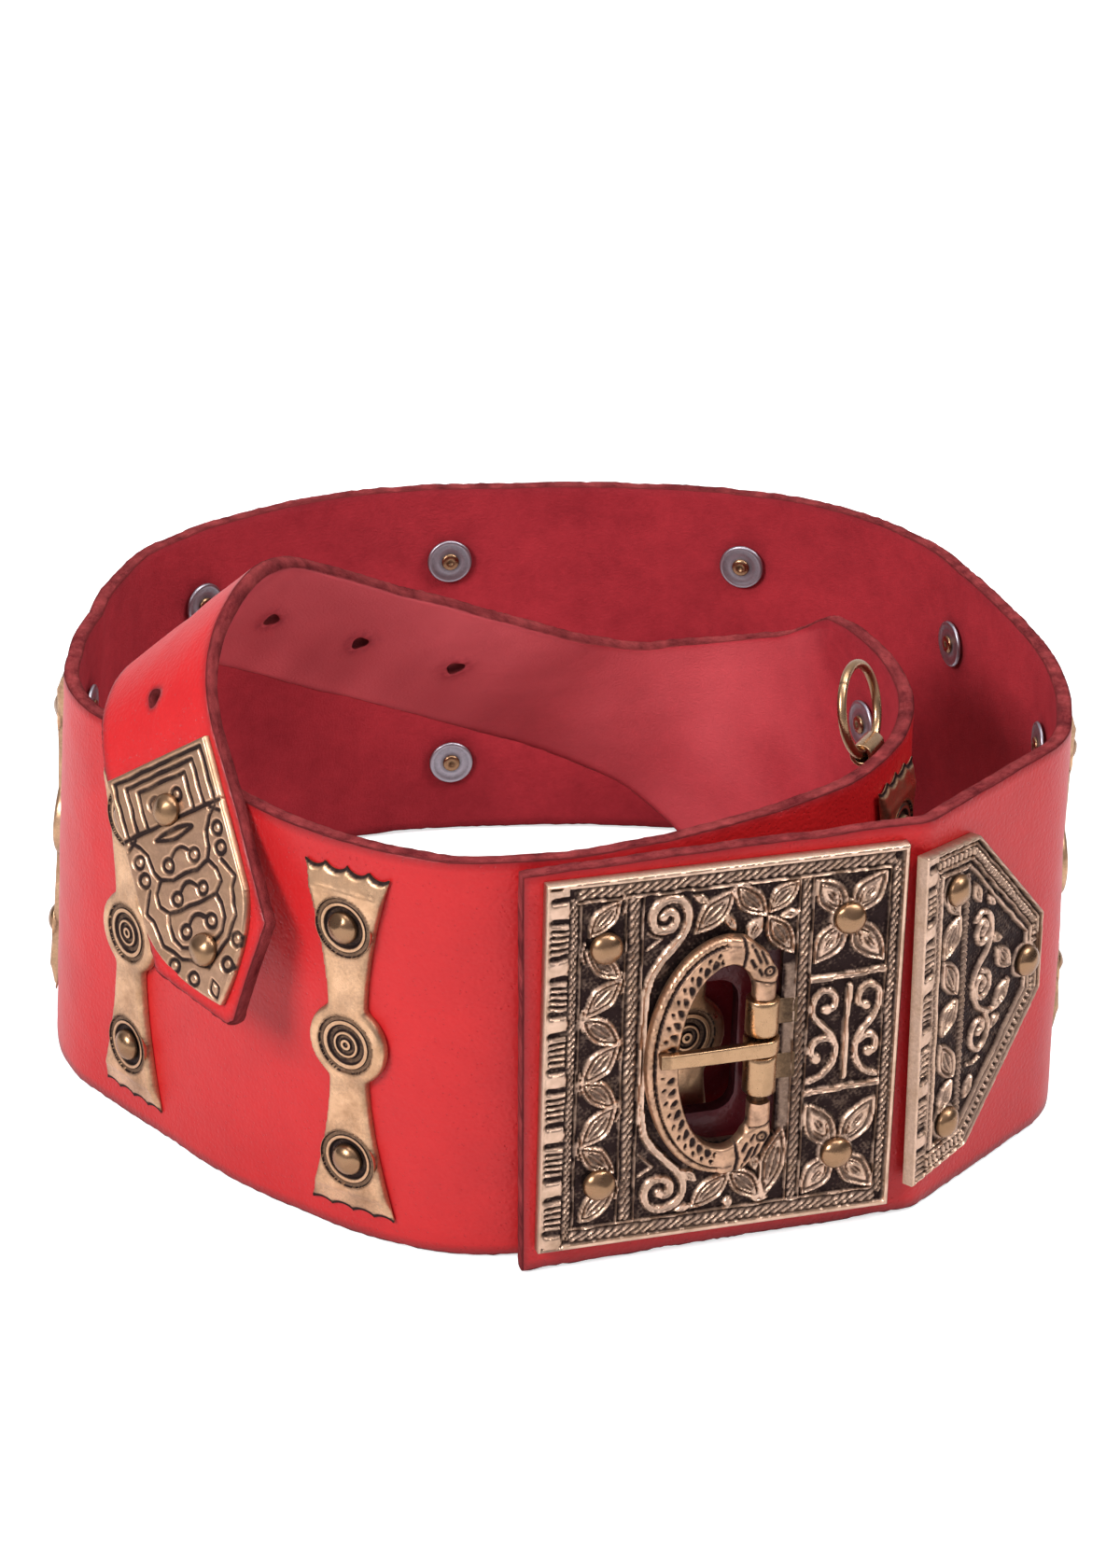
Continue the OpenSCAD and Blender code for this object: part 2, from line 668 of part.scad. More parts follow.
// Clip folded round the suspension ring, its two leaves flat on the flesh side
eye_r = eye_d / 2;
clip_face = -(leather_t + seat + washer_seat);
eye_z = clip_face - eye_r - clip_t;
clip_tail = stiff_rivet_h / 2 - 0.65 * clip_w;
module ring_clip() {
  color(bright_brass) on_stiffener(clip_stiffener) difference() {
    union() {
      translate([-clip_w / 2, clip_tail, clip_face - 2 * clip_t])
        cube([clip_w, eye_up - clip_tail, 2 * clip_t]);
      translate([0, eye_up, eye_z]) rotate([0, 90, 0]) cylinder(r = eye_r + clip_t, h = clip_w, center = true);
    }
    translate([0, eye_up, eye_z]) rotate([0, 90, 0]) cylinder(r = eye_r, h = clip_w + 2, center = true);
    translate([0, stiff_rivet_h / 2, clip_face - 2 * clip_t - 1]) cylinder(r = hole_r, h = 2 * clip_t + 2);
  }
}
// The wire lies against the far side of the eye
wire_r = wire_d / 2;
wire_play = 0.1;
wire_rest = eye_r - wire_r - wire_play;
module suspension_ring() {
  color(bright_brass) on_stiffener(clip_stiffener) translate([0, eye_up, eye_z]) rotate([-susp_lean, 0, 0])
    translate([0, susp_d / 2 - wire_r - wire_rest, 0])
      rotate_extrude() translate([susp_d / 2 - wire_r, 0]) circle(wire_r);
}

belt_leather();
buckle_plate();
buckle_ring();
hinge_bar();
tongue();
hinge_sleeve_upper();
hinge_sleeve_lower();
counter_plate();
plate_rivets();
plate_washers();
counter_rivets();
counter_washers();
stiffener(0);  // stiffener_1
stiffener(1);  // stiffener_2
stiffener(2);  // stiffener_3
stiffener(3);  // stiffener_4
stiffener(4);  // stiffener_5
stiffener(5);  // stiffener_6
stiffener(6);  // stiffener_7
stiffener(7);  // stiffener_8
stiffener(8);  // stiffener_9
stiffener(9);  // stiffener_10
stiffener(10);  // stiffener_11
stiffener_rivets();
stiffener_washers();
strap_end();
strap_end_rivets();
strap_end_washers();
ring_clip();
suspension_ring();
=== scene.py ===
"""Coiled roman military belt: leather, carved brass plates, stiffeners and fittings round the CAD frame."""

import bpy
import numpy as np
from mathutils import Matrix, Vector
from mathutils.geometry import delaunay_2d_cdt


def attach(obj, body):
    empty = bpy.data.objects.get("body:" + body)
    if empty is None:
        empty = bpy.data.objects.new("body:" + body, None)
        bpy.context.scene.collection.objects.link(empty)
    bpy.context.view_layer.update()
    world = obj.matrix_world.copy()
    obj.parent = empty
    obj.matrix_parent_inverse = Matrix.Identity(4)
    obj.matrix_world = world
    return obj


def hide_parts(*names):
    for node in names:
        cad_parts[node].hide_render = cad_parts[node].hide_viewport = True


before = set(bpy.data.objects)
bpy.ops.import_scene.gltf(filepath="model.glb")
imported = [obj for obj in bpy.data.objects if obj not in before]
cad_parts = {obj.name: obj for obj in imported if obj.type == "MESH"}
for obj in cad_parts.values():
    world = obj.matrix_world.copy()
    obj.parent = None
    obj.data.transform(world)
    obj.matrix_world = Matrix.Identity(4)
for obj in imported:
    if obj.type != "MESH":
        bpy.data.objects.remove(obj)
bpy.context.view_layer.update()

MM = 0.001
rng = np.random.default_rng(7)

# course of the belt, as in the CAD

BAND_W = 100.0
LEATHER_T = 3.6
STRAP_W = 36.0
TIP_L = 18.0
TIP_W = 2.0
TAPER = (897.0, 992.0)
PLATE_S = 46.0
PLATE_UP = 1.0
PLATE_TURN = -1.2
SEAT = 0.15
WASHER_SEAT = 0.45
RUNS = [
    (92, 0, 0, 0), (4, 33, 0, 0), (44, 0, 0, 0), (16, 30, 0, 0), (34, 16, 0, 0), (34, 11, 0, 0),
    (34, 4, 0, 0), (80, 59, 0, 0), (80, 20, 0, 0), (80, 46, 0, 0), (72, 36, 0, 0), (36, 37.5, 0, 0),
    (36, 0, 0, 0), (60, 19.5, 0, 0), (50, 52.5, 0, 0), (50, 12.5, 0, 0), (80, 63.5, 0, 0),
    (30, 29.5, 15, 6.5), (30, 23, 4, 9.5), (30, 28, -8, -3), (30, 20.5, -22, 14.5), (82.5, 17, 3.5, 14.5),
    (26, 26, -18.5, 0), (22, 28, -10.5, -15.5), (28, 46, 0, 0), (44.5, 0, 0, 0), (TIP_L, 0, 0, 0),
]
LEAN_S = [500, 540, 568, 606, 642, 684]
LEAN_DEG = [0, 4, 4, 2.4, 2.4, 0]
STIFFENER_S = [188, 252, 329, 408, 481, 553, 623, 698, 775, 842, 898.5]
CLIP_STIFFENER = 9
LAST_TURN = 7.5


def spin(v, k, a):
    """Rodrigues: v cos a + (k x v) sin a + k (k.v)(1 - cos a), row by row."""
    a = np.asarray(a)[..., None]
    return v * np.cos(a) + np.cross(k, v) * np.sin(a) + k * (k * v).sum(-1, keepdims=True) * (1 - np.cos(a))


def bent(t, w, turn, slant, rise, share):
    """Turns T and W about the ruling by share * turn / 2, then by share * rise / 2 in the strip's plane.

    The ruling is g = cos(slant) W + sin(slant) T.
    """
    slant = np.radians(slant)[..., None]
    g = np.cos(slant) * w + np.sin(slant) * t
    a = np.radians(turn) * share / 2
    t, w = spin(t, g, a), spin(w, g, a)
    b = (np.radians(rise) * share / 2)[..., None]
    return t * np.cos(b) + w * np.sin(b), w * np.cos(b) - t * np.sin(b)


def walk():
    """Steps (length, turn, slant, rise) and the frame P, T, W, s at the start of each, and at the end."""
    steps, before = [], 0.0
    for length, turn, slant, rise in RUNS:
        n = int(max(np.ceil(abs(turn) / 5), np.ceil(length / 18)))
        for i in range(1, n + 1):
            steps.append((length / n, turn / n, before + (slant - before) * i / n, rise / n))
        before = slant
    p, t, w, s = np.array([-PLATE_S, 0, BAND_W / 2]), np.array([1.0, 0, 0]), np.array([0, 0, 1.0]), 0.0
    out = [(p, t, w, s)]
    one = np.array(1.0)
    for length, turn, slant, rise in steps:
        args = (np.array(turn), np.array(slant), np.array(rise), one)
        t, w = bent(t, w, *args)
        p, s = p + t * length, s + length
        t, w = bent(t, w, *args)
        out.append((p, t, w, s))
    return np.array(steps), [np.array(c) for c in zip(*out)]


STEPS, (P0, T0, W0, S0) = walk()
BELT_L = float(S0[-1])
CORNER_S = BELT_L - TIP_L


def course(s, smooth=True):
    """P, T, W, N and the ruling's slant at distances s. Smooth chords bow out by turn * d (L - d) / 2L."""
    s = np.asarray(s, float)
    i = np.clip(np.searchsorted(S0, s, side="right") - 1, 0, len(STEPS) - 1)
    length, turn, slant, rise = STEPS[i].T
    d = s - S0[i]
    t1, w1 = bent(T0[i], W0[i], turn, slant, rise, np.ones_like(s))
    p = P0[i] + t1 * d[..., None]
    t, w = bent(t1, w1, turn, slant, rise, 2 * d / length - 1)
    n = np.cross(t, w)
    if smooth:
        p = p + n * (np.radians(turn) * d * (length - d) / (2 * length))[..., None]
    a = np.radians(np.interp(s, LEAN_S, LEAN_DEG))[..., None]
    leaned = np.cos(a) * w - np.sin(a) * n
    p = p + (leaned - w) * BAND_W / 2
    ring = np.concatenate([[0.0], STEPS[:, 2]])
    return p, t, leaned, np.cross(t, leaned), np.interp(s, S0, ring)


def strip_width(s):
    """Width of the strip: a half cosine between band and strap, then a straight-sided point."""
    t = np.clip((s - TAPER[0]) / (TAPER[1] - TAPER[0]), 0, 1)
    w = STRAP_W + (BAND_W - STRAP_W) * (1 + np.cos(np.pi * t)) / 2
    return np.where(s > CORNER_S, TIP_W + (STRAP_W - TIP_W) * (BELT_L - s) / TIP_L, w)


class Seat:
    """Where a fitting drawn flat (x along the belt, y across, z outward, in mm) is put on the belt."""

    def __init__(self, s, across=0.0, proud=LEATHER_T / 2 + SEAT, turn=0.0, shift=0.0):
        p, t, w, n, _ = [v[0] if v.ndim > 1 else v for v in course(np.array([s]), smooth=False)]
        a = np.radians(turn)
        self.x, self.y, self.z = t * np.cos(a) + w * np.sin(a), w * np.cos(a) - t * np.sin(a), n
        self.p = p + w * across + n * proud + t * shift

    def put(self, points):
        """World metres of local millimetres."""
        x, y, z = np.moveaxis(np.asarray(points, float), -1, 0)[..., None]
        return (self.p + x * self.x + y * self.y + z * self.z) * MM


BUCKLE = Seat(PLATE_S, PLATE_UP, turn=PLATE_TURN)
COUNTER_S, COUNTER_W, COUNTER_H = 88.6, 49.0, 84.0
COUNTER = Seat(COUNTER_S + COUNTER_W * 0.6, PLATE_UP, shift=-COUNTER_W * 0.6)
STIFFENERS = [Seat(s, turn=-LAST_TURN if i == 10 else 0.0) for i, s in enumerate(STIFFENER_S)]
END_L, END_W, END_T = 58.0, 31.6, 2.0
END_RIVETS = (12.0, 45.0)
STRAP_END = Seat(BELT_L - 4.5 - END_L / 2, shift=-END_L / 2)

# meshes


def grid_faces(rows, cols, wrap=False, loop=False):
    """Quads of a grid of points numbered row by row. wrap joins the end columns, loop the end rows."""
    down, over = np.arange(rows if loop else rows - 1), np.arange(cols if wrap else cols - 1)
    i, j = np.meshgrid(down, over, indexing="ij")
    after, right = (i + 1) % rows * cols, (j + 1) % cols
    return np.stack([i * cols + j, i * cols + right, after + right, after + j], -1).reshape(-1, 4)


def fan(ring, centre, flip=False):
    """Triangles from a closed ring of point numbers to a centre point."""
    a, b = np.asarray(ring), np.roll(ring, -1)
    tri = np.stack([a, b, np.full(len(a), centre)], -1)
    return tri[:, ::-1] if flip else tri


def make(name, points, faces, mats, fields, slots=None, body="belt", nodes=(), slot=None, sharp=None):
    """One visible piece from world points and face arrays. slots gives each face array's material."""
    mesh = bpy.data.meshes.new(name)
    corners = np.concatenate([f.ravel() for f in faces]).astype(np.int32)
    sides = np.concatenate([np.full(len(f), f.shape[1]) for f in faces])
    mesh.vertices.add(len(points))
    mesh.vertices.foreach_set("co", np.asarray(points, np.float32).ravel())
    mesh.loops.add(len(corners))
    mesh.loops.foreach_set("vertex_index", corners)
    mesh.polygons.add(len(sides))
    mesh.polygons.foreach_set("loop_start", np.concatenate([[0], np.cumsum(sides)[:-1]]).astype(np.int32))
    for m in mats:
        mesh.materials.append(m)
    if slots:
        index = np.concatenate([np.full(len(f), k) for k, f in zip(slots, faces)])
        mesh.polygons.foreach_set("material_index", index.astype(np.int32))
    for key, values in fields.items():
        values = np.asarray(values, np.float32)
        vector = values.ndim == 2
        attribute = mesh.attributes.new(key, "FLOAT_VECTOR" if vector else "FLOAT", "POINT")
        attribute.data.foreach_set("vector" if vector else "value", values.ravel())
    mesh.update(calc_edges=True)
    mesh.validate()
    mesh.shade_smooth()
    if sharp:
        mesh.set_sharp_from_angle(angle=np.radians(sharp))
    obj = bpy.data.objects.new(name, mesh)
    bpy.context.scene.collection.objects.link(obj)
    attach(obj, body)
    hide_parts(*nodes)


class Parts:
    """Gathers the closed solids of one piece: local points on a seat, their faces and their tone."""

    def __init__(self):
        self.points, self.local, self.faces, self.tone, self.count = [], [], [], [], 0

    def add(self, seat, local, faces, tone):
        self.points.append(seat.put(local))
        self.local.append(local)
        self.tone.append(np.broadcast_to(tone, len(local)))
        self.faces += [f + self.count for f in faces]
        self.count += len(local)

    def finish(self, name, mat, **kw):
        fields = {"tone": np.concatenate(self.tone), "place": np.concatenate(self.local) * MM}
        make(name, np.concatenate(self.points), self.faces, [mat], fields, **kw)


def lathe(profile, n=40):
    """Points (r, z) turned about Z in rings of n. An end with r = 0 is one point.

    A closed profile is joined. Returns the points, the face arrays and each point's row in the profile. Faces
    look outward if z rises.
    """
    profile = np.asarray(profile, float)
    loop = bool(np.allclose(profile[0], profile[-1]))
    poles = [k for k in (0, len(profile) - 1) if profile[k, 0] < 1e-6]
    rows = np.array([k for k in range(len(profile) - loop) if k not in poles])
    a = np.linspace(0, 2 * np.pi, n, endpoint=False)
    r, z = profile[rows, :1], profile[rows, 1:]
    pts = np.stack([r * np.cos(a), r * np.sin(a), z + 0 * a], -1).reshape(-1, 3)
    pts = np.concatenate([pts, np.array([[0, 0, profile[k, 1]] for k in poles]).reshape(-1, 3)])
    faces = [grid_faces(len(rows), n, True, loop)]
    first = np.arange(n)
    for i, pole in enumerate(poles):
        ring = first if pole == 0 else first + (len(rows) - 1) * n
        faces.append(fan(ring, len(rows) * n + i, pole == 0))
    return pts, faces, np.concatenate([np.repeat(rows, n), poles]).astype(int)


def wobble(x, y, scale, seed, octaves=2):
    """Smooth pseudo-noise from -1 to 1: a sum of sines with seeded directions and phases."""
    r = np.random.default_rng(seed)
    out, total = 0.0, 0.0
    for o in range(octaves):
        for _ in range(5):
            a, phase = r.uniform(0, 2 * np.pi), r.uniform(0, 2 * np.pi)
            k = 2 * np.pi / scale * 2**o * r.uniform(0.6, 1.4)
            out = out + np.sin(k * (x * np.cos(a) + y * np.sin(a)) + phase) / 2**o
        total += 2.2 / 2**o
    return out / total


def smooth(x, a, b):
    """Smoothstep of x from a to b; b may be below a."""
    t = np.clip((x - a) / (b - a), 0, 1)
    return t * t * (3 - 2 * t)


def bell(d, w):
    """Soft bump of width w: exp(-(d/w)^2)."""
    return np.exp(-((d / w) ** 2))


# carved ornament, heights from 0 to 1


def ridge(d, w):
    """Half-round ridge of half-width w along distance d: sqrt(1 - (d/w)^2)."""
    return np.sqrt(np.clip(1 - (d / w) ** 2, 0, 1))


def to_segments(x, y, path):
    """Distance from each point to a polyline, and how far along it the nearest point lies."""
    path = np.asarray(path, float)
    a, b = path[:-1], path[1:]
    d = b - a
    length = np.hypot(*d.T)
    at = np.concatenate([[0], np.cumsum(length)])
    best, along = np.full(x.shape, 1e9), np.zeros(x.shape)
    for k in range(len(a)):
        t = np.clip(((x - a[k, 0]) * d[k, 0] + (y - a[k, 1]) * d[k, 1]) / length[k] ** 2, 0, 1)
        e = np.hypot(x - a[k, 0] - t * d[k, 0], y - a[k, 1] - t * d[k, 1])
        near = e < best
        best, along = np.where(near, e, best), np.where(near, at[k] + t * length[k], along)
    return best, along / at[-1]


def curve(path, n=5):
    """Smooth path through the points: Catmull-Rom, n pieces between neighbours."""
    q = np.asarray(path, float)
    q = np.concatenate([2 * q[:1] - q[1:2], q, 2 * q[-1:] - q[-2:-1]])
    t = np.linspace(0, 1, n, endpoint=False)[None, :, None]
    a, b, c, d = (q[i:len(q) - 3 + i, None] for i in range(4))
    out = 0.5 * (2 * b + (c - a) * t + (2 * a - 5 * b + 4 * c - d) * t**2 + (3 * b - a - 3 * c + d) * t**3)
    return np.concatenate([out.reshape(-1, 2), q[-2:-1]])


class Carving:
    """A height map over a grid of local x, y, filled one motif at a time with the greater height."""

    def __init__(self, x, y):
        self.x = x + 0.16 * wobble(x, y, 9, 3)
        self.y = y + 0.16 * wobble(x, y, 9, 4)
        self.h = np.zeros(x.shape)

    def raise_to(self, h, mask=slice(None)):
        self.h[mask] = np.maximum(self.h[mask], h)

    def near(self, path, reach):
        """The points within reach of a path's box, and their distance to the path."""
        path = np.asarray(path, float)
        lo, hi = path.min(0) - reach, path.max(0) + reach
        m = (self.x > lo[0]) & (self.x < hi[0]) & (self.y > lo[1]) & (self.y < hi[1])
        return m, to_segments(self.x[m], self.y[m], path)[0]

    def disc(self, cx, cy, outer, inner, top):
        """Round pad that falls off between two radii."""
        self.raise_to(top * smooth(np.hypot(self.x - cx, self.y - cy), outer, inner))

    def line(self, path, w, top):
        m, d = self.near(path, 2)
        self.raise_to(top * ridge(d, w), m)

    def ribbon(self, path, half, ball=0.0):
        """A broad line with a sharp lip along both sides; ball is the radius of the knob that starts it."""
        path = curve(path)
        m, d = self.near(path, 3)
        self.raise_to(np.maximum(0.74 * smooth(d, half + 0.45, half - 0.2), ridge(d - half, 0.42)), m)
        if ball:
            self.disc(*path[0], ball + 0.35, ball - 0.3, 0.97)

    def leaf(self, cx, cy, angle, length, width, rib=True):
        """Pointed leaf: a rim, a lens inside it and a midrib. Lens s is |2a/length|^1.7 + |b|/half = s."""
        reach = length / 2 + 1.5
        m = (np.abs(self.x - cx) < reach) & (np.abs(self.y - cy) < reach)
        c, s = np.cos(np.radians(angle)), np.sin(np.radians(angle))
        x, y = self.x[m] - cx, self.y[m] - cy
        a, b = x * c + y * s, y * c - x * s
        half = 0.56 * width
        broad = half > 1.7
        lens = np.abs(2 * a / length) ** 1.7 + np.abs(b) / half
        h = np.maximum(0.34 * (lens < 1.0), ridge(lens - 1 + 0.3 / half, 0.50 / half))
        if broad:
            h = np.maximum(h, 0.86 * ridge(lens - 0.5, 0.36 / half))
        if rib:
            h = np.maximum(h, 0.8 * ridge(b, 0.34) * (lens < (0.42 if broad else 0.72)))
        self.raise_to(h, m)

    def rope(self, a, b, w=1.25, pitch=2.05, lean=1.0):
        """Twisted rope from a to b: thin slanting strands on a low rounded bed."""
        a, b = np.array(a, float), np.array(b, float)
        length = np.hypot(*(b - a))
        ux, uy = (b - a) / length
        along, off = (self.x - a[0]) * ux + (self.y - a[1]) * uy, (self.y - a[1]) * ux - (self.x - a[0]) * uy
        m = (along > 0) & (along < length) & (np.abs(off) < w + 0.1)
        along, off = along[m], off[m]
        bend = off + 0.35 * w * np.sin(np.pi * off / w)
        strand = np.abs(np.cos(np.pi * (along + lean * bend) / pitch)) ** 2.6
        bed = np.clip(1 - (off / (w + 0.1)) ** 4, 0, 1)
        self.raise_to(0.84 * bed * (0.30 + 0.70 * strand), m)

    def sink(self, cx, cy, w, h, depth):
        """Slot with rounded ends and soft sides cut down into what is there."""
        r, soft = min(w, h) / 2, 0.4
        qx, qy = np.abs(self.x - cx) - w / 2 + r, np.abs(self.y - cy) - h / 2 + r
        d = np.hypot(np.maximum(qx, 0), np.maximum(qy, 0)) - r
        m = d < soft
        self.h[m] = np.minimum(self.h[m], 1 - depth * smooth(d[m], soft, -soft))

    def flower(self, cx, cy, petals):
        """Four pointed petals about a rivet; petals are the points that they reach."""
        for px, py in petals:
            dx, dy = px - cx, py - cy
            reach, a = np.hypot(dx, dy), np.degrees(np.arctan2(dy, dx))
            self.leaf(cx + dx * 0.54, cy + dy * 0.54, a, reach * 0.98, 6.2)
            self.leaf(cx + dx * 0.58, cy + dy * 0.58, a, reach * 0.52, 2.4, rib=False)
        self.disc(cx, cy, 4.6, 4.0, 0.7)

    def border_strip(self, x0, x1, y0, y1, first, period=13.9):
        """Left border: a bright rounded block with a pit, then a group of deep slots, over and over."""
        cx, w = (x0 + x1) / 2, x1 - x0
        m = (self.x > x0 - 0.2) & (self.x < x1 + 0.3) & (self.y > y0) & (self.y < y1)
        self.raise_to(0.80 * smooth(self.x[m], x1 + 0.25, x1 - 0.2), m)
        slots = [(0.4, q, 1.6, 1.0) for q in (-2.6, 2.6)]
        slots += [(0.5, -4.85 - 1.5 * k, 0.84, 0.95) for k in range(4)]
        y = first
        while y > y0 - period:
            block = np.hypot((self.x[m] - cx) / w * 2.2, (self.y[m] - y) / 2.0)
            self.raise_to(np.clip(1.25 - 0.38 * block**2, 0, 1) * smooth(block, 1.3, 1.15), m)
            for shift, q, high, depth in slots:
                if y0 < y + q < y1:
                    self.sink(cx + shift, y + q, w * 0.98, high, depth)
            y -= period

    def cast(self):
        """Unevenness left by casting and filing."""
        return 0.05 * wobble(self.x, self.y, 2.6, 11) + 0.02 * wobble(self.x, self.y, 0.9, 12)


PLATE_W, PLATE_H, PLATE_T, RELIEF = 84.0, 92.0, 3.0, 1.2
RIVET_X, RIVET_Y, COUNTER_RIVET_X, TIP_RIVET = 28.3, 29.8, 12.0, 7.0


def buckle_carving(x, y):
    """Height map of the buckle plate, as the photograph shows its panels."""
    c = Carving(x, y)
    hx, hy = PLATE_W / 2, PLATE_H / 2
    edge = np.minimum(hx - x, hy - np.abs(y))
    c.border_strip(-hx + 0.5, -hx + 5.3, -hy + 1.0, hy - 1.0, 39.5)
    c.raise_to(0.97 * smooth(np.minimum(edge, x + hx), 0.9, 0.6))
    lip = (c.x > -hx + 5.4) & (edge < 1.9)
    c.raise_to(0.97 * smooth(edge[lip], 1.5, 1.1), lip)
    for sy in (-1, 1):
        c.rope((-34.6, sy * 43.1), (hx - 3.2, sy * 43.1), w=1.55, pitch=2.1, lean=-0.85)
        c.line([(-34.6, sy * 41.0), (16.5, sy * 41.0), (37.6, sy * 41.0)], 0.3, 0.85)
    for rx, low, high, w, pitch in (
        (39.4, -42.5, 42.5, 0.95, 1.9), (-35.5, -44, 42, 0.85, 1.7), (-21.7, -40.6, 40.6, 1.35, 2.05),
        (18.2, -40.6, 40.6, 1.2, 2.05),
    ):
        c.rope((rx, low), (rx, high), w, pitch)
    for lx, top in ((-23.7, 0.7), (-19.7, 0.7), (16.5, 0.75), (19.9, 0.7), (37.9, 0.7), (-34.0, 0.55)):
        c.line([(lx, -40.8), (lx, 40.8)], 0.26, top)
    # left panel: leaves that lean to and fro, tip to tip
    for cy, a, length, width in (
        (36.6, 48, 11.0, 4.6), (25.4, -44, 11.5, 4.8), (17.0, 46, 12.0, 5.2), (8.7, -40, 12.0, 5.2),
        (0.6, 48, 12.4, 5.4), (-7.0, -42, 11.6, 5.0), (-15.2, 50, 12.8, 5.4), (-23.8, -42, 11.4, 5.0),
        (-35.2, 46, 12.0, 5.2),
    ):
        c.leaf(-28.7 + 0.1 * np.sign(a), cy, a, length, width)
        tip = -24.4 if a > 0 else -33.0
        c.line([(tip, cy + 5.6), (tip + (0.9 if a > 0 else -0.6), cy + 3.0), (tip, cy + 0.6)], 0.34, 0.8)
    # middle field round the ring
    upper = [(-15.2, 35.3), (-14.2, 36.4), (-12.6, 35.9), (-12.2, 34.0), (-13.3, 32.2), (-15.4, 31.8),
             (-17.3, 33.3), (-17.8, 35.8), (-16.6, 38.3), (-14.0, 39.6), (-11.2, 38.9), (-9.6, 36.6),
             (-9.4, 33.6), (-10.6, 30.4), (-13.2, 27.0), (-16.0, 23.6), (-17.8, 20.2), (-18.7, 15),
             (-18.9, 6), (-18.9, -4), (-18.8, -12)]
    lower = [(-13.6, -34.6), (-12.4, -35.4), (-11.2, -34.2), (-11.6, -32.0), (-13.8, -30.9), (-16.2, -31.8),
             (-17.4, -34.4), (-16.6, -37.2), (-14.0, -38.8), (-11.0, -38.4), (-8.7, -36.2), (-8.2, -33.0),
             (-9.6, -29.6), (-12.6, -26.2), (-15.6, -22.8), (-18.0, -18.4), (-18.8, -12)]
    c.ribbon(upper, 0.6, 1.1)
    c.ribbon(lower, 0.6, 1.2)
    c.line([(-18.6, 27.5), (-15.4, 29.6), (-18.4, 31.5)], 0.4, 0.7)
    c.line([(-18.8, -24.2), (-15.6, -27.6), (-18.8, -29.6)], 0.4, 0.7)
    for cx, cy, a, length, width in (
        (-3.3, 34.9, 48, 13.4, 5.4), (4.9, 36.9, 132, 11.6, 5.2), (12.6, 37.0, 46, 10.0, 4.6),
        (12.4, 27.6, -58, 12.4, 5.2), (6.2, 29.6, 62, 7.0, 3.2), (14.4, 32.4, 10, 4.6, 2.0),
        (-1.4, -35.5, 41, 12.6, 5.0), (6.7, -35.0, -46, 12.6, 5.2), (13.2, -30.4, 78, 18.6, 5.4),
        (2.8, -39.4, 90, 3.0, 1.8), (8.6, -29.6, 100, 5.0, 2.2), (-6.6, -31.0, 140, 5.0, 2.0),
        (-8.0, -39.2, 10, 4.4, 1.6), (10.2, -39.2, -12, 4.4, 1.8), (-6.6, 38.6, 150, 4.6, 1.8),
        (0.4, 32.2, 120, 5.4, 2.0),
    ):
        c.leaf(cx, cy, a, length, width)
    # right column: flower, two pairs of scrolls on a stem, flower
    c.flower(RIVET_X, RIVET_Y, ((20.8, 39.8), (36.8, 40.0), (20.9, 19.4), (37.0, 18.2)))
    c.flower(RIVET_X, -RIVET_Y, ((20.8, -17.2), (37.2, -17.2), (20.9, -39.8), (37.4, -40.0)))
    c.ribbon([(20.4, 15.0), (28.0, 15.2), (37.4, 15.7)], 0.45)
    c.ribbon([(20.4, -13.9), (28.0, -13.4), (37.4, -13.2)], 0.45)
    c.ribbon([(29.3, -10.6), (29.2, 0), (29.4, 6), (29.5, 12.3)], 0.42)
    c.ribbon([(24.3, 6.9), (26.1, 7.6), (26.3, 9.8), (24.6, 11.9), (22.4, 11.4), (21.0, 9.0), (21.2, 6.0),
              (23.2, 3.2), (25.8, 0.3), (27.0, -3.2), (26.2, -7.0), (23.8, -9.8),
              (20.8, -10.8)], 0.42, 1.15)
    c.ribbon([(22.4, -5.2), (21.0, -3.6), (21.8, -1.2), (24.2, -0.1), (26.4, -1.0)], 0.42, 1.25)
    c.ribbon([(33.6, 6.9), (31.9, 7.8), (32.0, 10.4), (34.0, 12.2), (36.4, 11.2), (37.0, 8.2), (35.6, 4.2),
              (33.2, 0.8), (31.7, -2.6), (31.9, -6.4), (33.8, -9.4), (36.9, -10.8)], 0.42, 1.05)
    c.ribbon([(35.0, -5.0), (36.6, -4.2), (36.4, -1.6), (34.4, -0.6), (32.4, -1.8)], 0.42, 1.25)
    # plain ledge beside the hinge notch
    ledge = smooth(np.abs(c.x - 15.2), 1.5, 0.9) * smooth(np.abs(c.y + 1.0), 21.5, 20.5)
    c.raise_to(0.42 * ledge)
    return c


COUNTER_CORNERS = [(0.0, COUNTER_H / 2), (21.0, 40.0), (COUNTER_W, 10.0)]


def counter_edge(x, y):
    """Distance inside the counter plate's outline, whose right side tapers to a blunt point."""
    ay = np.abs(y)
    (x0, y0), (x1, y1), (x2, y2) = COUNTER_CORNERS
    slope = np.array([x2 - x1, y2 - y1]) / np.hypot(x2 - x1, y2 - y1)
    side = (y0 - (y0 - y1) * x / x1 - ay) / np.hypot(1, (y0 - y1) / x1)
    cut = (x - x1) * slope[1] - (ay - y1) * slope[0]
    return np.minimum(np.minimum(np.minimum(x, x2 - x), side), cut)


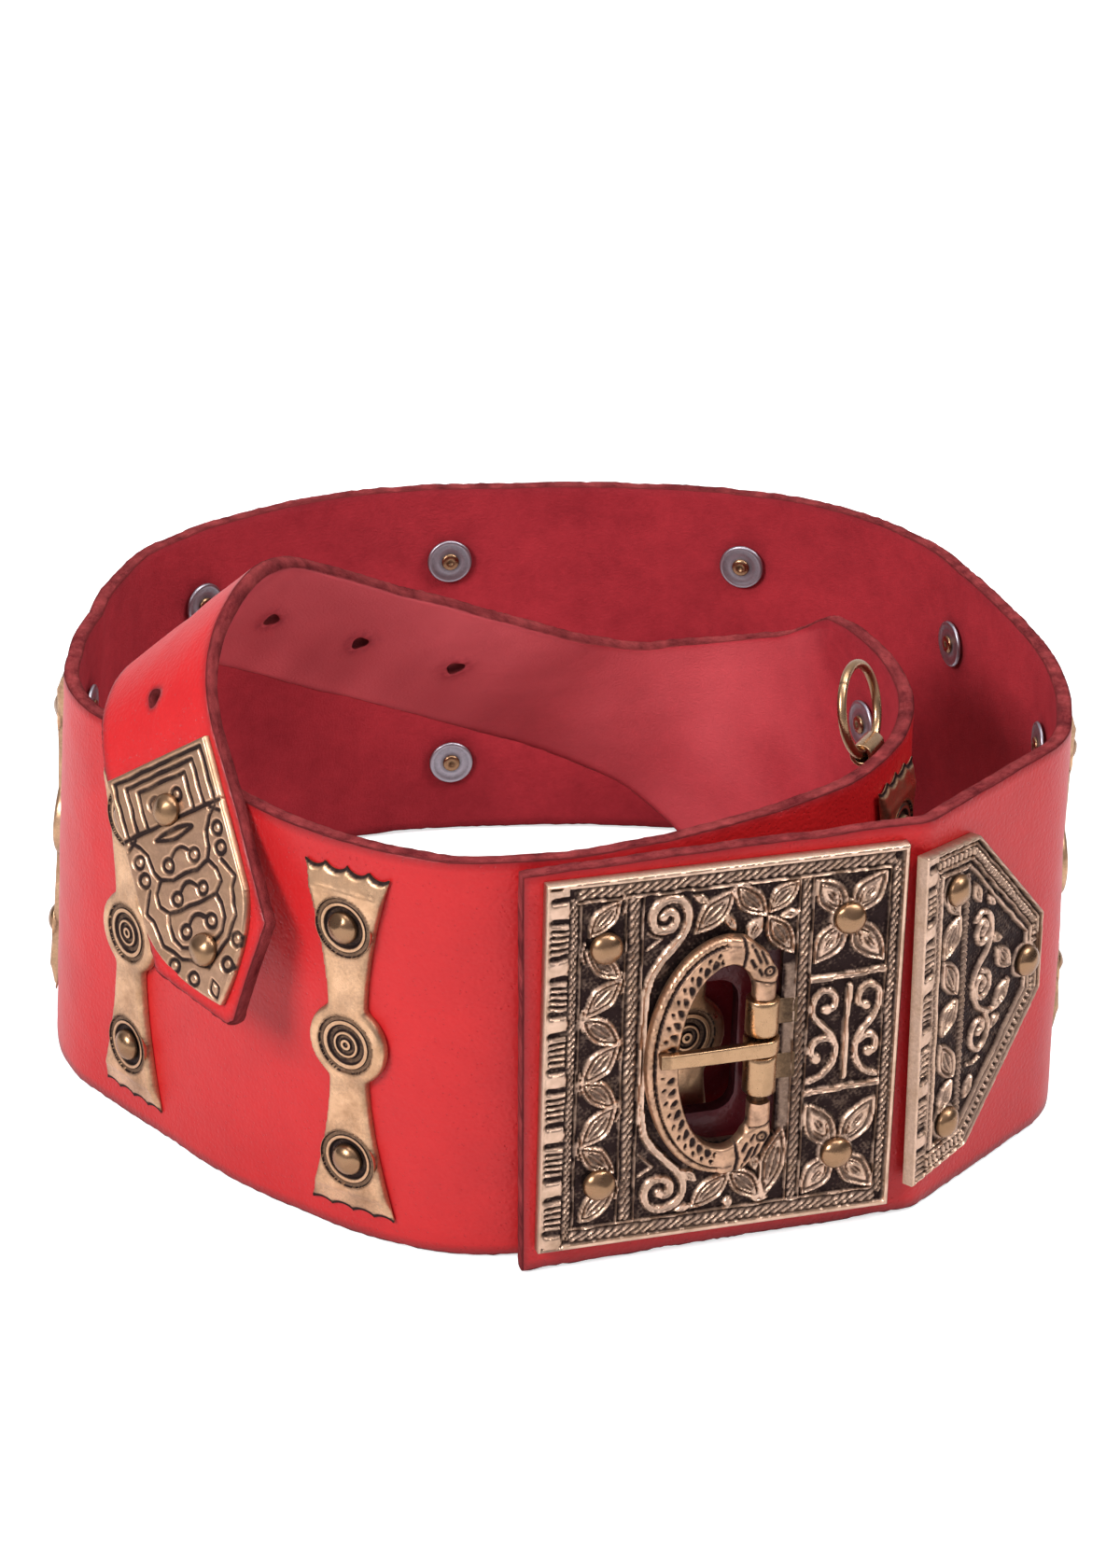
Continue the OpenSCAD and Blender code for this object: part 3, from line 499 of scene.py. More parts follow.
def counter_carving(x, y):
    """Height map of the counter plate."""
    c = Carving(x, y)
    edge = counter_edge(c.x, c.y)
    away = smooth(c.x, 4.6, 5.4)
    outline = np.array([(4.0, COUNTER_H / 2), *COUNTER_CORNERS[1:]])
    outline = np.concatenate([outline, outline[::-1] * (1, -1)])
    _, along = to_segments(c.x, c.y, outline)
    along = along * np.hypot(*np.diff(outline, axis=0).T).sum()
    tooth = np.abs(np.cos(np.pi * along / 1.7)) ** 1.4
    c.border_strip(0.5, 4.7, -COUNTER_H / 2 + 1.0, COUNTER_H / 2 - 1.0, 36.0, 13.4)
    c.raise_to(0.97 * smooth(counter_edge(x, y), 0.95, 0.65))
    c.raise_to(away * 0.92 * smooth(np.abs(edge - 3.25), 1.1, 0.75) * (0.12 + 0.88 * tooth))
    for inset, w, top in ((1.75, 0.34, 0.85), (4.95, 0.42, 0.9), (6.7, 0.5, 0.95)):
        c.raise_to(away * ridge(edge - inset, w) * top)
    for rope_x, reach in ((6.2, 35.0), (17.3, 31.5)):
        c.rope((rope_x, -reach), (rope_x, reach), w=0.95, pitch=1.6)
    c.line([(5.0, -36), (5.0, 36)], 0.3, 0.8)
    for cy, a, length, width in (
        (26.4, -58, 9.0, 3.8), (17.8, 58, 11.0, 5.6), (7.4, -62, 12.0, 5.6), (-2.8, 52, 9.6, 5.2),
        (-14.2, -62, 12.0, 5.6), (-23.4, 58, 8.6, 4.2),
    ):
        c.leaf(11.7, cy, a, length, width)
    c.ribbon([(24.4, 14.0), (25.6, 15.4), (24.6, 17.0), (22.6, 16.4), (21.8, 14.2), (23.2, 11.8),
              (26.0, 12.0), (27.6, 14.6), (26.6, 18.0), (23.6, 19.4), (21.2, 18.2)], 0.3, 0.8)
    c.ribbon([(26.6, 18.0), (27.8, 14.0), (26.6, 9.4), (23.0, 6.0), (21.2, 2.8), (21.6, -1.2), (24.0, -5.2),
              (28.0, -7.6), (31.4, -7.8)], 0.3)
    c.ribbon([(24.6, -0.6), (25.8, 0.8), (24.4, 2.6), (22.6, 1.2), (22.8, -1.6), (25.4, -3.0), (27.8, -0.8),
              (27.2, 2.8), (24.6, 4.0)], 0.3, 0.7)
    c.ribbon([(24.4, -12.0), (25.8, -11.0), (25.6, -9.2), (23.4, -8.6), (21.4, -10.8), (21.8, -14.4),
              (24.4, -16.4), (27.2, -14.6), (28.2, -11.0), (26.8, -7.6)], 0.3, 0.9)
    c.line([(20.4, -19.0), (22.4, -19.4), (25.0, -18.6)], 0.4, 0.85)
    for cx, cy, a, length, width in (
        (33.2, 4.2, -50, 9.0, 4.0), (33.0, -5.2, 42, 9.0, 4.0), (30.0, 10.6, 160, 4.6, 1.9),
        (30.6, -11.4, 30, 4.6, 1.9), (21.2, 25.4, -66, 6.4, 2.4), (21.0, -24.6, 62, 6.0, 2.4),
        (27.0, 21.4, -50, 4.4, 1.7),
    ):
        c.leaf(cx, cy, a, length, width)
    c.disc(COUNTER_W - TIP_RIVET, 0, 4.9, 4.3, 0.7)
    for sy in (-1, 1):
        c.disc(COUNTER_RIVET_X, sy * RIVET_Y, 4.7, 4.1, 0.62)
    return c


# materials


class Nodes:
    """Short calls for building a node tree. Inputs are sockets or constants; most calls return an output."""

    def __init__(self, tree):
        self.tree = tree

    def feed(self, node, inputs):
        for key, value in inputs.items():
            if isinstance(value, bpy.types.NodeSocket):
                self.tree.links.new(value, node.inputs[key])
            else:
                node.inputs[key].default_value = value
        return node

    def node(self, kind, inputs=None, **settings):
        """A new node's outputs."""
        n = self.tree.nodes.new("ShaderNode" + kind)
        for key, value in settings.items():
            setattr(n, key, value)
        return self.feed(n, inputs or {}).outputs

    def math(self, op, a, b, clamp=False):
        return self.node("Math", {0: a, 1: b}, operation=op, use_clamp=clamp)[0]

    def add(self, a, b):
        return self.math("ADD", a, b)

    def times(self, a, b):
        return self.math("MULTIPLY", a, b)

    def mix(self, factor, a, b):
        """Mix of two colours, each a socket or three numbers."""
        a, b = (v if isinstance(v, bpy.types.NodeSocket) else (*v, 1.0) for v in (a, b))
        return self.node("Mix", {0: factor, 6: a, 7: b}, data_type="RGBA", clamp_factor=True)[2]

    def span(self, value, a, b, c, d):
        return self.node("MapRange", {0: value, 1: a, 2: b, 3: c, 4: d})[0]

    def noise(self, vector, scale, detail, rough=0.55):
        inputs = {"Vector": vector, "Scale": scale, "Detail": detail, "Roughness": rough}
        return self.node("TexNoise", inputs)[0]

    def bump(self, height):
        return self.node("Bump", {"Height": height, "Strength": 1.0, "Distance": 1.0})[0]

    def field(self, name, output):
        return self.node("Attribute", attribute_name=name)[output]


def new_group(name, ins, outs):
    """A node group with named inputs (name, kind, default) and named float outputs."""
    g = bpy.data.node_groups.new(name, "ShaderNodeTree")
    for label, kind, default in ins:
        entry = g.interface.new_socket(label, in_out="INPUT", socket_type="NodeSocket" + kind)
        if default is not None:
            entry.default_value = default
    for label in outs:
        g.interface.new_socket(label, in_out="OUTPUT", socket_type="NodeSocketFloat")
    return Nodes(g), g.nodes.new("NodeGroupInput").outputs, g.nodes.new("NodeGroupOutput")


def skin_group():
    """Leather: dye mottling, and a fine grain of cells and pores or of fibres, in metres of the hide."""
    k, given, out = new_group(
        "hide",
        [("Vector", "Vector", None), ("Mottle", "Float", 0.3), ("Cell size", "Float", 0.0009),
         ("Fibre", "Float", 0.0), ("Depth", "Float", 0.0002)],
        ["Shade", "Height"],
    )
    v = given["Vector"]
    big, mid, small = k.noise(v, 26, 4), k.noise(v, 130, 4, 0.65), k.noise(v, 620, 4, 0.7)
    shade = k.add(k.add(k.times(big, 0.45), k.times(mid, 0.30)), k.times(small, 0.25))
    shade = k.add(k.times(k.math("SUBTRACT", shade, 0.5), given["Mottle"]), 0.5)
    density = k.math("DIVIDE", 1.0, given["Cell size"])
    cells = k.node("TexVoronoi", {"Vector": v, "Scale": density, "Randomness": 1.0}, feature="SMOOTH_F1")[0]
    pores = k.node("TexVoronoi", {"Vector": v, "Scale": k.times(density, 0.65)}, feature="F1")[0]
    pores = k.span(pores, 0.0, 0.22, -1.0, 0.0)
    grain = k.math("SUBTRACT", 1.0, given["Fibre"])
    shade = k.add(shade, k.times(k.times(pores, 0.4), grain))
    height = k.times(k.add(k.times(cells, 0.5), k.times(pores, 0.5)), grain)
    height = k.add(height, k.times(k.noise(v, 1500, 5, 0.7), given["Fibre"]))
    k.feed(out, {"Shade": shade, "Height": k.times(height, given["Depth"])})
    return k.tree


def patina_group():
    """Brass: how dark the patina is, from the carved height, and the uneven tarnish and filing marks."""
    k, given, out = new_group(
        "patina",
        [("Vector", "Vector", None), ("Tone", "Float", 1.0), ("Tarnish", "Float", 0.3),
         ("Grit", "Float", 0.00003)],
        ["Dark", "Stain", "Height"],
    )
    v = given["Vector"]
    spots, fine = k.noise(v, 190, 5, 0.62), k.noise(v, 1300, 4, 0.7)
    tone = k.add(given["Tone"], k.times(k.math("SUBTRACT", fine, 0.5), 0.5))
    tone = k.add(tone, k.times(k.math("SUBTRACT", spots, 0.5), 0.5))
    drag = k.node("Mapping", {"Vector": v, "Scale": (0.18, 1.0, 1.0), "Rotation": (0, 0, 0.5)})[0]
    height = k.add(k.times(fine, 0.6), k.times(k.noise(drag, 2600, 2, 0.5), 0.4))
    k.feed(out, {
        "Dark": k.math("POWER", k.span(tone, 0.10, 0.86, 1.0, 0.0), 0.8),
        "Stain": k.times(k.span(spots, 0.42, 0.72, 0.0, 1.0), given["Tarnish"]),
        "Height": k.times(height, given["Grit"]),
    })
    return k.tree


HIDE, PATINA = skin_group(), patina_group()


def material(name):
    """A new material, its node calls and its shader."""
    m = bpy.data.materials.new(name)
    m.use_nodes = True
    return m, Nodes(m.node_tree), m.node_tree.nodes["Principled BSDF"]


# pale colour of the painted light on the strap's flesh side
PAINTED_LIGHT_LEATHER = (0.95, 0.16, 0.18)
DARK_ROUGH = 0.62


def leather(name, light, dark, edge, rough, gloss, mottle, fibre, cell, depth, zoom=1.0):
    """Dyed leather over the hide attribute. Tone under 1 darkens burnished edges, stains and painted shade;
    over 1 paints light.
    """
    m, k, shader = material(name)
    where, tone = k.field("hide", "Vector"), k.field("tone", "Fac")
    where = k.node("Mapping", {"Vector": where, "Scale": (zoom, zoom, zoom)})[0]
    settings = {"Vector": where, "Mottle": mottle, "Cell size": cell, "Fibre": fibre, "Depth": depth}
    skin = k.node("Group", settings, node_tree=HIDE)
    colour = k.mix(k.math("SUBTRACT", 1.0, tone, True), k.mix(skin["Shade"], dark, light), edge)
    # tone over 1 is painted light: the strap's flesh side is paled as if lit
    colour = k.mix(k.math("SUBTRACT", tone, 1.0, True), colour, PAINTED_LIGHT_LEATHER)
    k.feed(shader, {"Base Color": colour, "Normal": k.bump(skin["Height"]),
                    "Roughness": rough, "Specular IOR Level": gloss})
    return m


def metal(name, bright, dark, rough, tarnish, grit, stain=(0.2, 0.12, 0.06)):
    """Metal with patina in its hollows: tone 1 is rubbed bright and tone 0 is the bottom of the carving."""
    m, k, shader = material(name)
    where, tone = k.field("place", "Vector"), k.field("tone", "Fac")
    settings = {"Vector": where, "Tone": tone, "Tarnish": tarnish, "Grit": grit}
    coat = k.node("Group", settings, node_tree=PATINA)
    colour = k.mix(coat["Dark"], k.mix(coat["Stain"], bright, stain), dark)
    matte = k.add(k.add(rough, k.times(coat["Stain"], 0.2)), k.times(coat["Dark"], DARK_ROUGH - rough))
    k.feed(shader, {"Base Color": colour, "Metallic": 1.0, "Roughness": matte,
                    "Normal": k.bump(coat["Height"])})
    return m


GRAIN = leather("leather_grain", (0.60, 0.016, 0.016), (0.34, 0.005, 0.008), (0.045, 0.003, 0.006),
                rough=0.42, gloss=0.34, mottle=0.95, fibre=0.0, cell=0.00085, depth=0.00022)
FLESH = leather("leather_flesh", (0.52, 0.036, 0.048), (0.15, 0.006, 0.012), (0.03, 0.006, 0.008),
                rough=0.9, gloss=0.15, mottle=1.45, fibre=1.0, cell=0.0011, depth=0.00028)
CUT = leather("leather_cut_edge", (0.62, 0.10, 0.10), (0.13, 0.010, 0.015), (0.02, 0.003, 0.005),
              rough=0.9, gloss=0.05, mottle=3.2, fibre=1.0, cell=0.0009, depth=0.0009, zoom=5.0)
PATINA_DARK = (0.035, 0.022, 0.020)
CAST = metal("brass_cast", (0.64, 0.435, 0.32), (0.030, 0.018, 0.017), 0.28, 0.55, 0.00005)
SATIN = metal("brass_satin", (0.68, 0.42, 0.25), PATINA_DARK, 0.26, 0.75, 0.00003, stain=(0.36, 0.20, 0.105))
AGED = metal("brass_aged", (0.56, 0.335, 0.215), PATINA_DARK, 0.32, 0.65, 0.00005)
DRAWN = metal("brass_drawn", (0.44, 0.27, 0.15), (0.035, 0.022, 0.016), 0.25, 0.45, 0.00003)
PIN = metal("brass_pin", (0.31, 0.18, 0.10), (0.04, 0.024, 0.016), 0.25, 0.5, 0.00003)
STEEL = metal("washer_steel", (0.36, 0.34, 0.38), (0.07, 0.06, 0.065), 0.36, 0.4, 0.00003,
              stain=(0.20, 0.16, 0.17))

# leather


def uneven(step_of, end):
    """Distances from 0 to end whose spacing is step_of(s)."""
    out = [0.0]
    while out[-1] < end:
        out.append(out[-1] + step_of(out[-1]))
    return np.array(out) * end / out[-1]


def shared_sides(quads, n):
    """Directed sides of quads over n points, and how many quads share each side."""
    sides = np.stack([quads, np.roll(quads, -1, 1)], -1)
    low, high = sides.min(-1), sides.max(-1)
    _, index, count = np.unique(low * n + high, return_inverse=True, return_counts=True)
    return sides, count[index].reshape(quads.shape)


def trim(px, py, quads, keep):
    """Keeps quads whose middle has keep > 0 and that share a side, and moves their border to keep = 0."""
    inside = keep(px[quads].mean(1), py[quads].mean(1)) > 0
    inside[inside] = (shared_sides(quads[inside], len(px))[1] > 1).any(1)
    kept, lost = quads[inside], quads[~inside]
    rim = np.intersect1d(kept, lost)
    e = 0.01
    for _ in range(3):
        x, y = px[rim], py[rim]
        f = keep(x, y)
        gx, gy = (keep(x + e, y) - keep(x - e, y)) / (2 * e), (keep(x, y + e) - keep(x, y - e)) / (2 * e)
        g2 = np.maximum(gx * gx + gy * gy, 0.2)
        px[rim], py[rim] = x - f * gx / g2, y - f * gy / g2
    used, index = np.unique(kept, return_inverse=True)
    return px[used], py[used], index.reshape(kept.shape)


def border(quads):
    """Directed border edges (a, b) of counter-clockwise quads: their outer side is on the right."""
    sides, shared = shared_sides(quads, quads.max() + 1)
    return sides[shared == 1]


def outward_of(px, py, edges):
    """Unit outward direction at every border point, in the plane: the mean of its two edges' normals."""
    n = np.zeros((len(px), 2))
    a, b = edges.T
    for end in (a, b):
        np.add.at(n, end, np.stack([py[b] - py[a], px[a] - px[b]], -1))
    return n / np.maximum(np.hypot(*n.T), 1e-9)[:, None]


NOTCH = (13.5, 23.5)
OPENING_X = 13.2


def opening_distance(x, y):
    """Distance outside the buckle plate's opening: half an ellipse and the hinge's notch."""
    right, high = NOTCH
    oval = (np.hypot(x / OPENING_X, y / high) - 1) * OPENING_X
    return np.where(x < 0, oval, np.maximum(x - right, np.abs(y) - high))


FIRST_HOLE, HOLE_PITCH, HOLES, HOLE_R = 1025.0, 30.3, 5, 2.0
HOLE_S = FIRST_HOLE + HOLE_PITCH * np.arange(HOLES)
SLOT = (-13.0, 4.2, 16.5, 5.0)


def on_plate(s, u):
    """x, y on the buckle plate of the hide's s, u."""
    a = np.radians(PLATE_TURN)
    x, y = s - PLATE_S, u - PLATE_UP
    return x * np.cos(a) + y * np.sin(a), y * np.cos(a) - x * np.sin(a)


def hole_distance(s, u):
    """Distance outside the nearest strap hole or the slot behind the buckle."""
    d = np.full(np.shape(s), 1e9)
    for h in HOLE_S:
        uneven_r = HOLE_R * (1.0 + 0.12 * np.sin(3 * np.arctan2(u, s - h) + h))
        d = np.minimum(d, np.hypot((s - h) / 1.12, u) - uneven_r)
    left, right, top, r = SLOT
    x, y = on_plate(s, u)
    qx, qy = np.abs(x - (left + right) / 2) - (right - left) / 2 + r, np.abs(y) - top + r
    slot = np.hypot(np.maximum(qx, 0), np.maximum(qy, 0)) + np.minimum(np.maximum(qx, qy), 0) - r
    return np.minimum(d, slot)


ROUND = 0.55
# middle of a painted shadow on the inner coil, where it shows through the buckle's opening
COIL_SHADE_S = 782.0
RIVETS_U = 29.5
UNDER_PLATE, STRAP_FROM = 92.0, 1000.0
# rows of the cut edge: how far out, height over the middle as a share of half the thickness, and tone
CUT_ROWS = [(0.62, 0.86, 0.70), (1.0, 0.45, 0.95), (1.0, -0.45, 0.80), (0.62, -0.86, 0.75)]


def hide_point(s, u, v):
    """World millimetres of the hide at distance s, across u and out v, with its waves and rivets' dents."""
    p, t, w, n, slant = course(s)
    wave = 0.22 * wobble(s, u, 70, 21) + 0.10 * wobble(s, u, 19, 22)
    free = smooth(np.abs(s - 70), 62, 75)
    dent = np.zeros(s.shape)
    for q in STIFFENER_S:
        near = np.abs(s - q) < 22
        wave = wave * (1 - 0.8 * bell(s - q, 12.0))
        for side in (-1, 1):
            r = np.hypot(s[near] - q, u[near] - side * RIVETS_U)
            dent[near] += 0.42 * (v[near] < 0) * bell(r, 7.0)
    pucker = 0.28 * bell(np.clip(hole_distance(s, u), 0, None), 1.8) * (s > STRAP_FROM)
    v = v + wave * free + dent - pucker * np.where(v < 0, 1.0, 0.5)
    return p + w * u[:, None] + t * (np.tan(np.radians(slant)) * u)[:, None] + n * v[:, None]


def hide_spacing(s):
    """Length of the grid's cells: short at the holes, the slot and the strap's end."""
    if np.abs(HOLE_S - s).min() < 7:
        return 0.62
    if 30 < s < 53:
        return 0.85
    return 0.8 if s > 1200 else 1.55


def hide_tone(s, u):
    """Grain and flesh tone: burnished edges, stains, handling marks; painted shade in the buckle's opening
    and painted light on the strap.
    """
    ends = np.minimum(strip_width(s) / 2 - np.abs(u), np.minimum(s, BELT_L - s))
    hole = np.clip(hole_distance(s, u), 0, None) / np.where(s > STRAP_FROM, 1, 1.6)
    burnish_and_shade = 0.62 * bell(ends, 1.5) + 0.6 * bell(hole, 0.8)
    # painted shade: the grain side inside the buckle plate's opening and just under its edge is darkened
    opening_shade = smooth(opening_distance(*on_plate(s, u)), 2.5, 0.5) * (s < UNDER_PLATE)
    burnish_and_shade = np.maximum(burnish_and_shade, 0.95 * opening_shade)
    # painted shadow: a dark patch on the inner coil's grain side where it shows through the buckle's opening
    behind = np.hypot((s - COIL_SHADE_S) / 13.0, (u - 2) / 22.0)
    burnish_and_shade = np.maximum(burnish_and_shade, 0.85 * smooth(behind, 1.25, 0.75))
    stain = 0.45 * bell(hole, 2.2) * (0.75 + 0.35 * wobble(s, u, 2.2, 41)) * (s > STRAP_FROM)
    stain = stain + 0.35 * bell(ends, 1.2)
    for q in STIFFENER_S:
        for side in (-1, 1):
            stain = stain + 0.22 * bell(np.hypot(s - q, u - side * RIVETS_U) - 6.4, 1.1)
    tone_shift = np.minimum(0.06 * wobble(s, u, 55, 42), 0)
    # painted light: the strap's flesh side is paled, more so towards its end
    painted_light = (0.35 * smooth(s, 900, 960) + 0.65 * smooth(s, 990, 1040)) * (1 + 0.15 * wobble(s, u, 40, 43))
    return 1 - burnish_and_shade + tone_shift, 1 - np.clip(stain, 0, 1) + tone_shift + painted_light


def build_leather():
    """One closed hide: grain side, flesh side, and a cut edge of four rows round outline and holes."""
    rows = uneven(hide_spacing, BELT_L - 2 * ROUND) + ROUND
    ss, uu = np.meshgrid(rows, np.linspace(-1, 1, 43))
    fray = 0.22 * wobble(ss, 60 * uu, 34, 31) + 0.05 * wobble(ss, 60 * uu, 3.0, 32)
    uu = uu * (strip_width(ss) / 2 - ROUND + fray * np.abs(uu))
    s, u, quads = trim(ss.ravel(), uu.ravel(), grid_faces(*ss.shape), hole_distance)
    edges = border(quads)
    n, rim = len(s), np.unique(edges)
    out = outward_of(s, u, edges)[rim]
    inner = hole_distance(s[rim], u[rim]) < 1.0
    reach = np.where(inner, 0.25, ROUND)
    grit = rng.uniform(-0.13, 0.13, (len(CUT_ROWS), len(rim))) * np.where(inner, 0.4, 1.0)
    half = LEATHER_T / 2
    points = [hide_point(s, u, np.full(n, half)), hide_point(s, u, np.full(n, -half))]
    hide = [np.stack([s, u, 0 * s], -1), np.stack([s, u, 0 * s - 30], -1)]
    tone = list(hide_tone(s, u))
    streak = 0.22 * wobble(s, u, 6.0, 44)[rim]
    # painted shade: the cut edges of the slot under the buckle plate are made nearly black
    slot_edge_shade = np.where(inner & (s[rim] < UNDER_PLATE), 0.12, 1.0)
    number = np.full(n, -1)
    chain = [np.arange(n)]
    for k, (d, z, shade) in enumerate(CUT_ROWS):
        e = reach * d + grit[k]
        points.append(hide_point(s[rim] + out[:, 0] * e, u[rim] + out[:, 1] * e, half * z + 0.5 * grit[k]))
        hide.append(np.stack([s[rim], u[rim] + 3.0 * z, 0 * e + 60], -1))
        tone.append(np.clip(shade + streak, 0, 1) * slot_edge_shade)
        number[rim] = 2 * n + k * len(rim) + np.arange(len(rim))
        chain.append(number.copy())
    chain.append(np.arange(n) + n)
    a, b = edges.T
    walls = [np.stack([p[a], q[a], q[b], p[b]], -1) for p, q in zip(chain[:-1], chain[1:])]
    fields = {"tone": np.concatenate(tone), "hide": np.concatenate(hide) * MM}
    faces, slots = [quads, quads[:, ::-1] + n] + walls, [0, 1] + [2] * len(walls)
    make("belt_hide", np.concatenate(points) * MM, faces, [GRAIN, FLESH, CUT], fields, slots,
         nodes=["belt_leather"], slot="leather")


# carved and engraved plates

INSIDE_OUTLINE = 1


def flat_fill(px, py, edges, keep):
    """Triangles between an outline and its holes, all facing down, from the directed border edges."""
    used, ends = np.unique(edges, return_inverse=True)
    corners = [Vector((px[k], py[k])) for k in used]
    out = delaunay_2d_cdt(corners, ends.reshape(-1, 2).tolist(), [], INSIDE_OUTLINE, 1e-6)
    origin = used[[first[0] for first in out[3]]]
    tri = origin[np.array(out[2])]
    x, y = px[tri], py[tri]
    turn = (x[:, 1] - x[:, 0]) * (y[:, 2] - y[:, 0]) - (x[:, 2] - x[:, 0]) * (y[:, 1] - y[:, 0])
    tri = np.where((turn < 0)[:, None], tri[:, ::-1], tri)
    # a counter-clockwise triangle on a border edge is inside if it runs along it, and in a hole if against it
    after, border_key = np.roll(tri, -1, 1), edges[:, 0] * len(px) + edges[:, 1]
    along = np.isin(tri * len(px) + after, border_key).any(1)
    against = np.isin(after * len(px) + tri, border_key).any(1)
    middle = keep(px[tri].mean(1), py[tri].mean(1)) > 0
    return tri[along | (middle & ~against)][:, ::-1]


def slab(parts, seat, box, cell, keep, top, tone, bottom=None):
    """A closed solid over an outline: a height map on top, walls, and a flat back or a second height map."""
    x0, x1, y0, y1 = box
    nx, ny = int(np.ceil((x1 - x0) / cell)) + 1, int(np.ceil((y1 - y0) / cell)) + 1
    xs, ys = np.meshgrid(np.linspace(x0, x1, nx), np.linspace(y0, y1, ny))
    px, py, quads = trim(xs.ravel(), ys.ravel(), grid_faces(ny, nx), keep)
    z, edges = top(px, py), border(quads)
    under = np.arange(len(px)) if bottom else np.unique(edges)
    low = bottom(px, py) if bottom else np.zeros(len(under))
    number = np.full(len(px), -1)
    number[under] = np.arange(len(under)) + len(px)
    a, b = edges.T
    walls = np.stack([a, number[a], number[b], b], -1)
    back = number[quads[:, ::-1] if bottom else flat_fill(px, py, edges, keep)]
    local = np.concatenate([np.stack([px, py, z], -1), np.stack([px[under], py[under], low], -1)])
    shade = np.concatenate([tone(px, py, z), np.full(len(under), 0.75)])
    parts.add(seat, local, [quads, walls, back], shade)


def bevel(d, t, r=0.4):
    """Rounds a top edge: t - r + sqrt(r^2 - (r - d)^2) within r of the outline."""
    return t - r + np.sqrt(np.clip(r * r - np.clip(r - d, 0, r) ** 2, 0, None))


def carved(edge, carving):
    """Top surface and tone of a carved plate: the tone follows the height, 0 at the bottom of the relief."""

    def top(x, y):
        c = carving(x, y)
        ground = 0.10 + 0.09 * wobble(x, y, 1.3, 13) + 0.08 * wobble(x, y, 5.0, 14)
        z = PLATE_T - RELIEF * (1 - np.maximum(c.h, ground)) + c.cast()
        return np.minimum(z, bevel(edge(x, y), PLATE_T))

    def tone(x, y, z):
        return np.clip(1 - (PLATE_T - z) / RELIEF, 0, 1)

    return top, tone


def buckle_edge(x, y):
    """Distance inside the buckle plate's outline and outside its opening."""
    return np.minimum(np.minimum(PLATE_W / 2 - np.abs(x), PLATE_H / 2 - np.abs(y)), opening_distance(x, y))


def build_plates():
    w, h, side = PLATE_W / 2, PLATE_H / 2, COUNTER_H / 2
    buckle, counter = carved(buckle_edge, buckle_carving), carved(counter_edge, counter_carving)
    for name, seat, box, cell, keep, faces in (
        ("buckle_plate", BUCKLE, (-w, w, -h, h), 0.34, opening_distance, buckle),
        ("counter_plate", COUNTER, (0, COUNTER_W, -side, side), 0.3, counter_edge, counter),
    ):
        parts = Parts()
        slab(parts, seat, box, cell, keep, *faces)
        parts.finish("carved_" + name, CAST, nodes=[name], slot="cast_brass", sharp=50)


STIFF_H, STIFF_W, STIFF_NECK, STIFF_DISC, STIFF_T = 88.0, 23.0, 9.5, 20.0, 2.4
MOTIF_R = 7.25


def scallops(x, y):
    """Distance from the four round hollows cut in each end, 1.6 mm deep above and 0.9 mm deep below."""
    pitch, ax = STIFF_W / 4, np.abs(x)
    deep = np.where(y > 0, 1.6, 0.9)
    r = (deep**2 + (pitch / 2) ** 2) / (2 * deep)
    phase = ax - pitch * (np.floor(ax / pitch) + 0.5)
    return np.hypot(phase, np.abs(y) - (STIFF_H / 2 - deep + r)) - r


def stiffener_keep(x, y):
    """Distance inside a stiffener: disc, two flared blades and their scalloped ends, softly joined."""
    ay = np.abs(y)
    root = STIFF_DISC * 0.4
    t = np.clip((ay - root) / (STIFF_H / 2 - root), 0, 1.1)
    half = (STIFF_NECK + (STIFF_W - STIFF_NECK) * t**1.7) / 2
    blade = np.minimum(np.minimum((half - np.abs(x)) * 0.94, STIFF_H / 2 - ay), scallops(x, y))
    disc = STIFF_DISC / 2 - np.hypot(x, y)
    k = 1.2
    h = np.clip(0.5 + 0.5 * (blade - disc) / k, 0, 1)
    joined = disc * (1 - h) + blade * h + k * h * (1 - h) * (ay < 16)
    return np.maximum(np.maximum(blade, disc), joined)


def stiffener_top(x, y):
    """Flat face, a rounded edge and a broad slope across both ends, sunk under the turned motifs."""
    slope = np.clip(np.abs(y) - (STIFF_H / 2 - 6.6), 0, None)
    z = bevel(stiffener_keep(x, y), STIFF_T, 0.95) - 0.30 * slope * smooth(slope, 0.0, 1.6)
    z = z - 0.75 * smooth(scallops(x, y), 1.15, 0.1)
    z = z + 0.04 * wobble(x, y, 8, 51) + 0.02 * wobble(x, y, 2.5, 52)
    for cy in MOTIFS_Y:
        z = np.where(np.hypot(x, y - cy) < MOTIF_R - 0.15, np.minimum(z, STIFF_T - 0.95), z)
    return np.maximum(z, 0.35)


def stiffener_tone(x, y, z):
    """Darker down the scalloped ends, in a soft line round each motif and, as painted shade, along the
    outline.
    """
    ring = np.min([np.abs(np.hypot(x, y - cy) - MOTIF_R) for cy in MOTIFS_Y], axis=0)
    # random patches, and painted shade in a band along the outline
    tone_shift = 0.12 * wobble(x, y, 13, 53) - 0.16 * bell(stiffener_keep(x, y), 1.1)
    ends = 0.85 * smooth(scallops(x, y), 1.1, 0.3) * (np.abs(y) > 38)
    return 0.84 - ends - 0.4 * bell(ring, 0.35) + tone_shift


MOTIF_FOOT = 0.3
MOTIFS_Y = (0, -RIVETS_U, RIVETS_U)


def motif_profile(rivet):
    """Turned rings as radius and depth under the face, round a dot or a well for a rivet's dome."""
    r = np.linspace(MOTIF_R + 0.1, 0.0, 90)
    z = -0.60 * ridge(r - 6.6, 0.62) ** 0.8 - 0.16 * smooth(r, 6.3, 5.9)
    if rivet:
        return r, z - 0.72 * smooth(r, 5.35, 4.6)
    dot = 0.62 * smooth(np.abs(r - 4.1), 1.0, 0.45) + 0.55 * ridge(r - 1.95, 0.62) ** 0.8
    return r, z - (dot + 0.5 * ridge(r, 0.62))


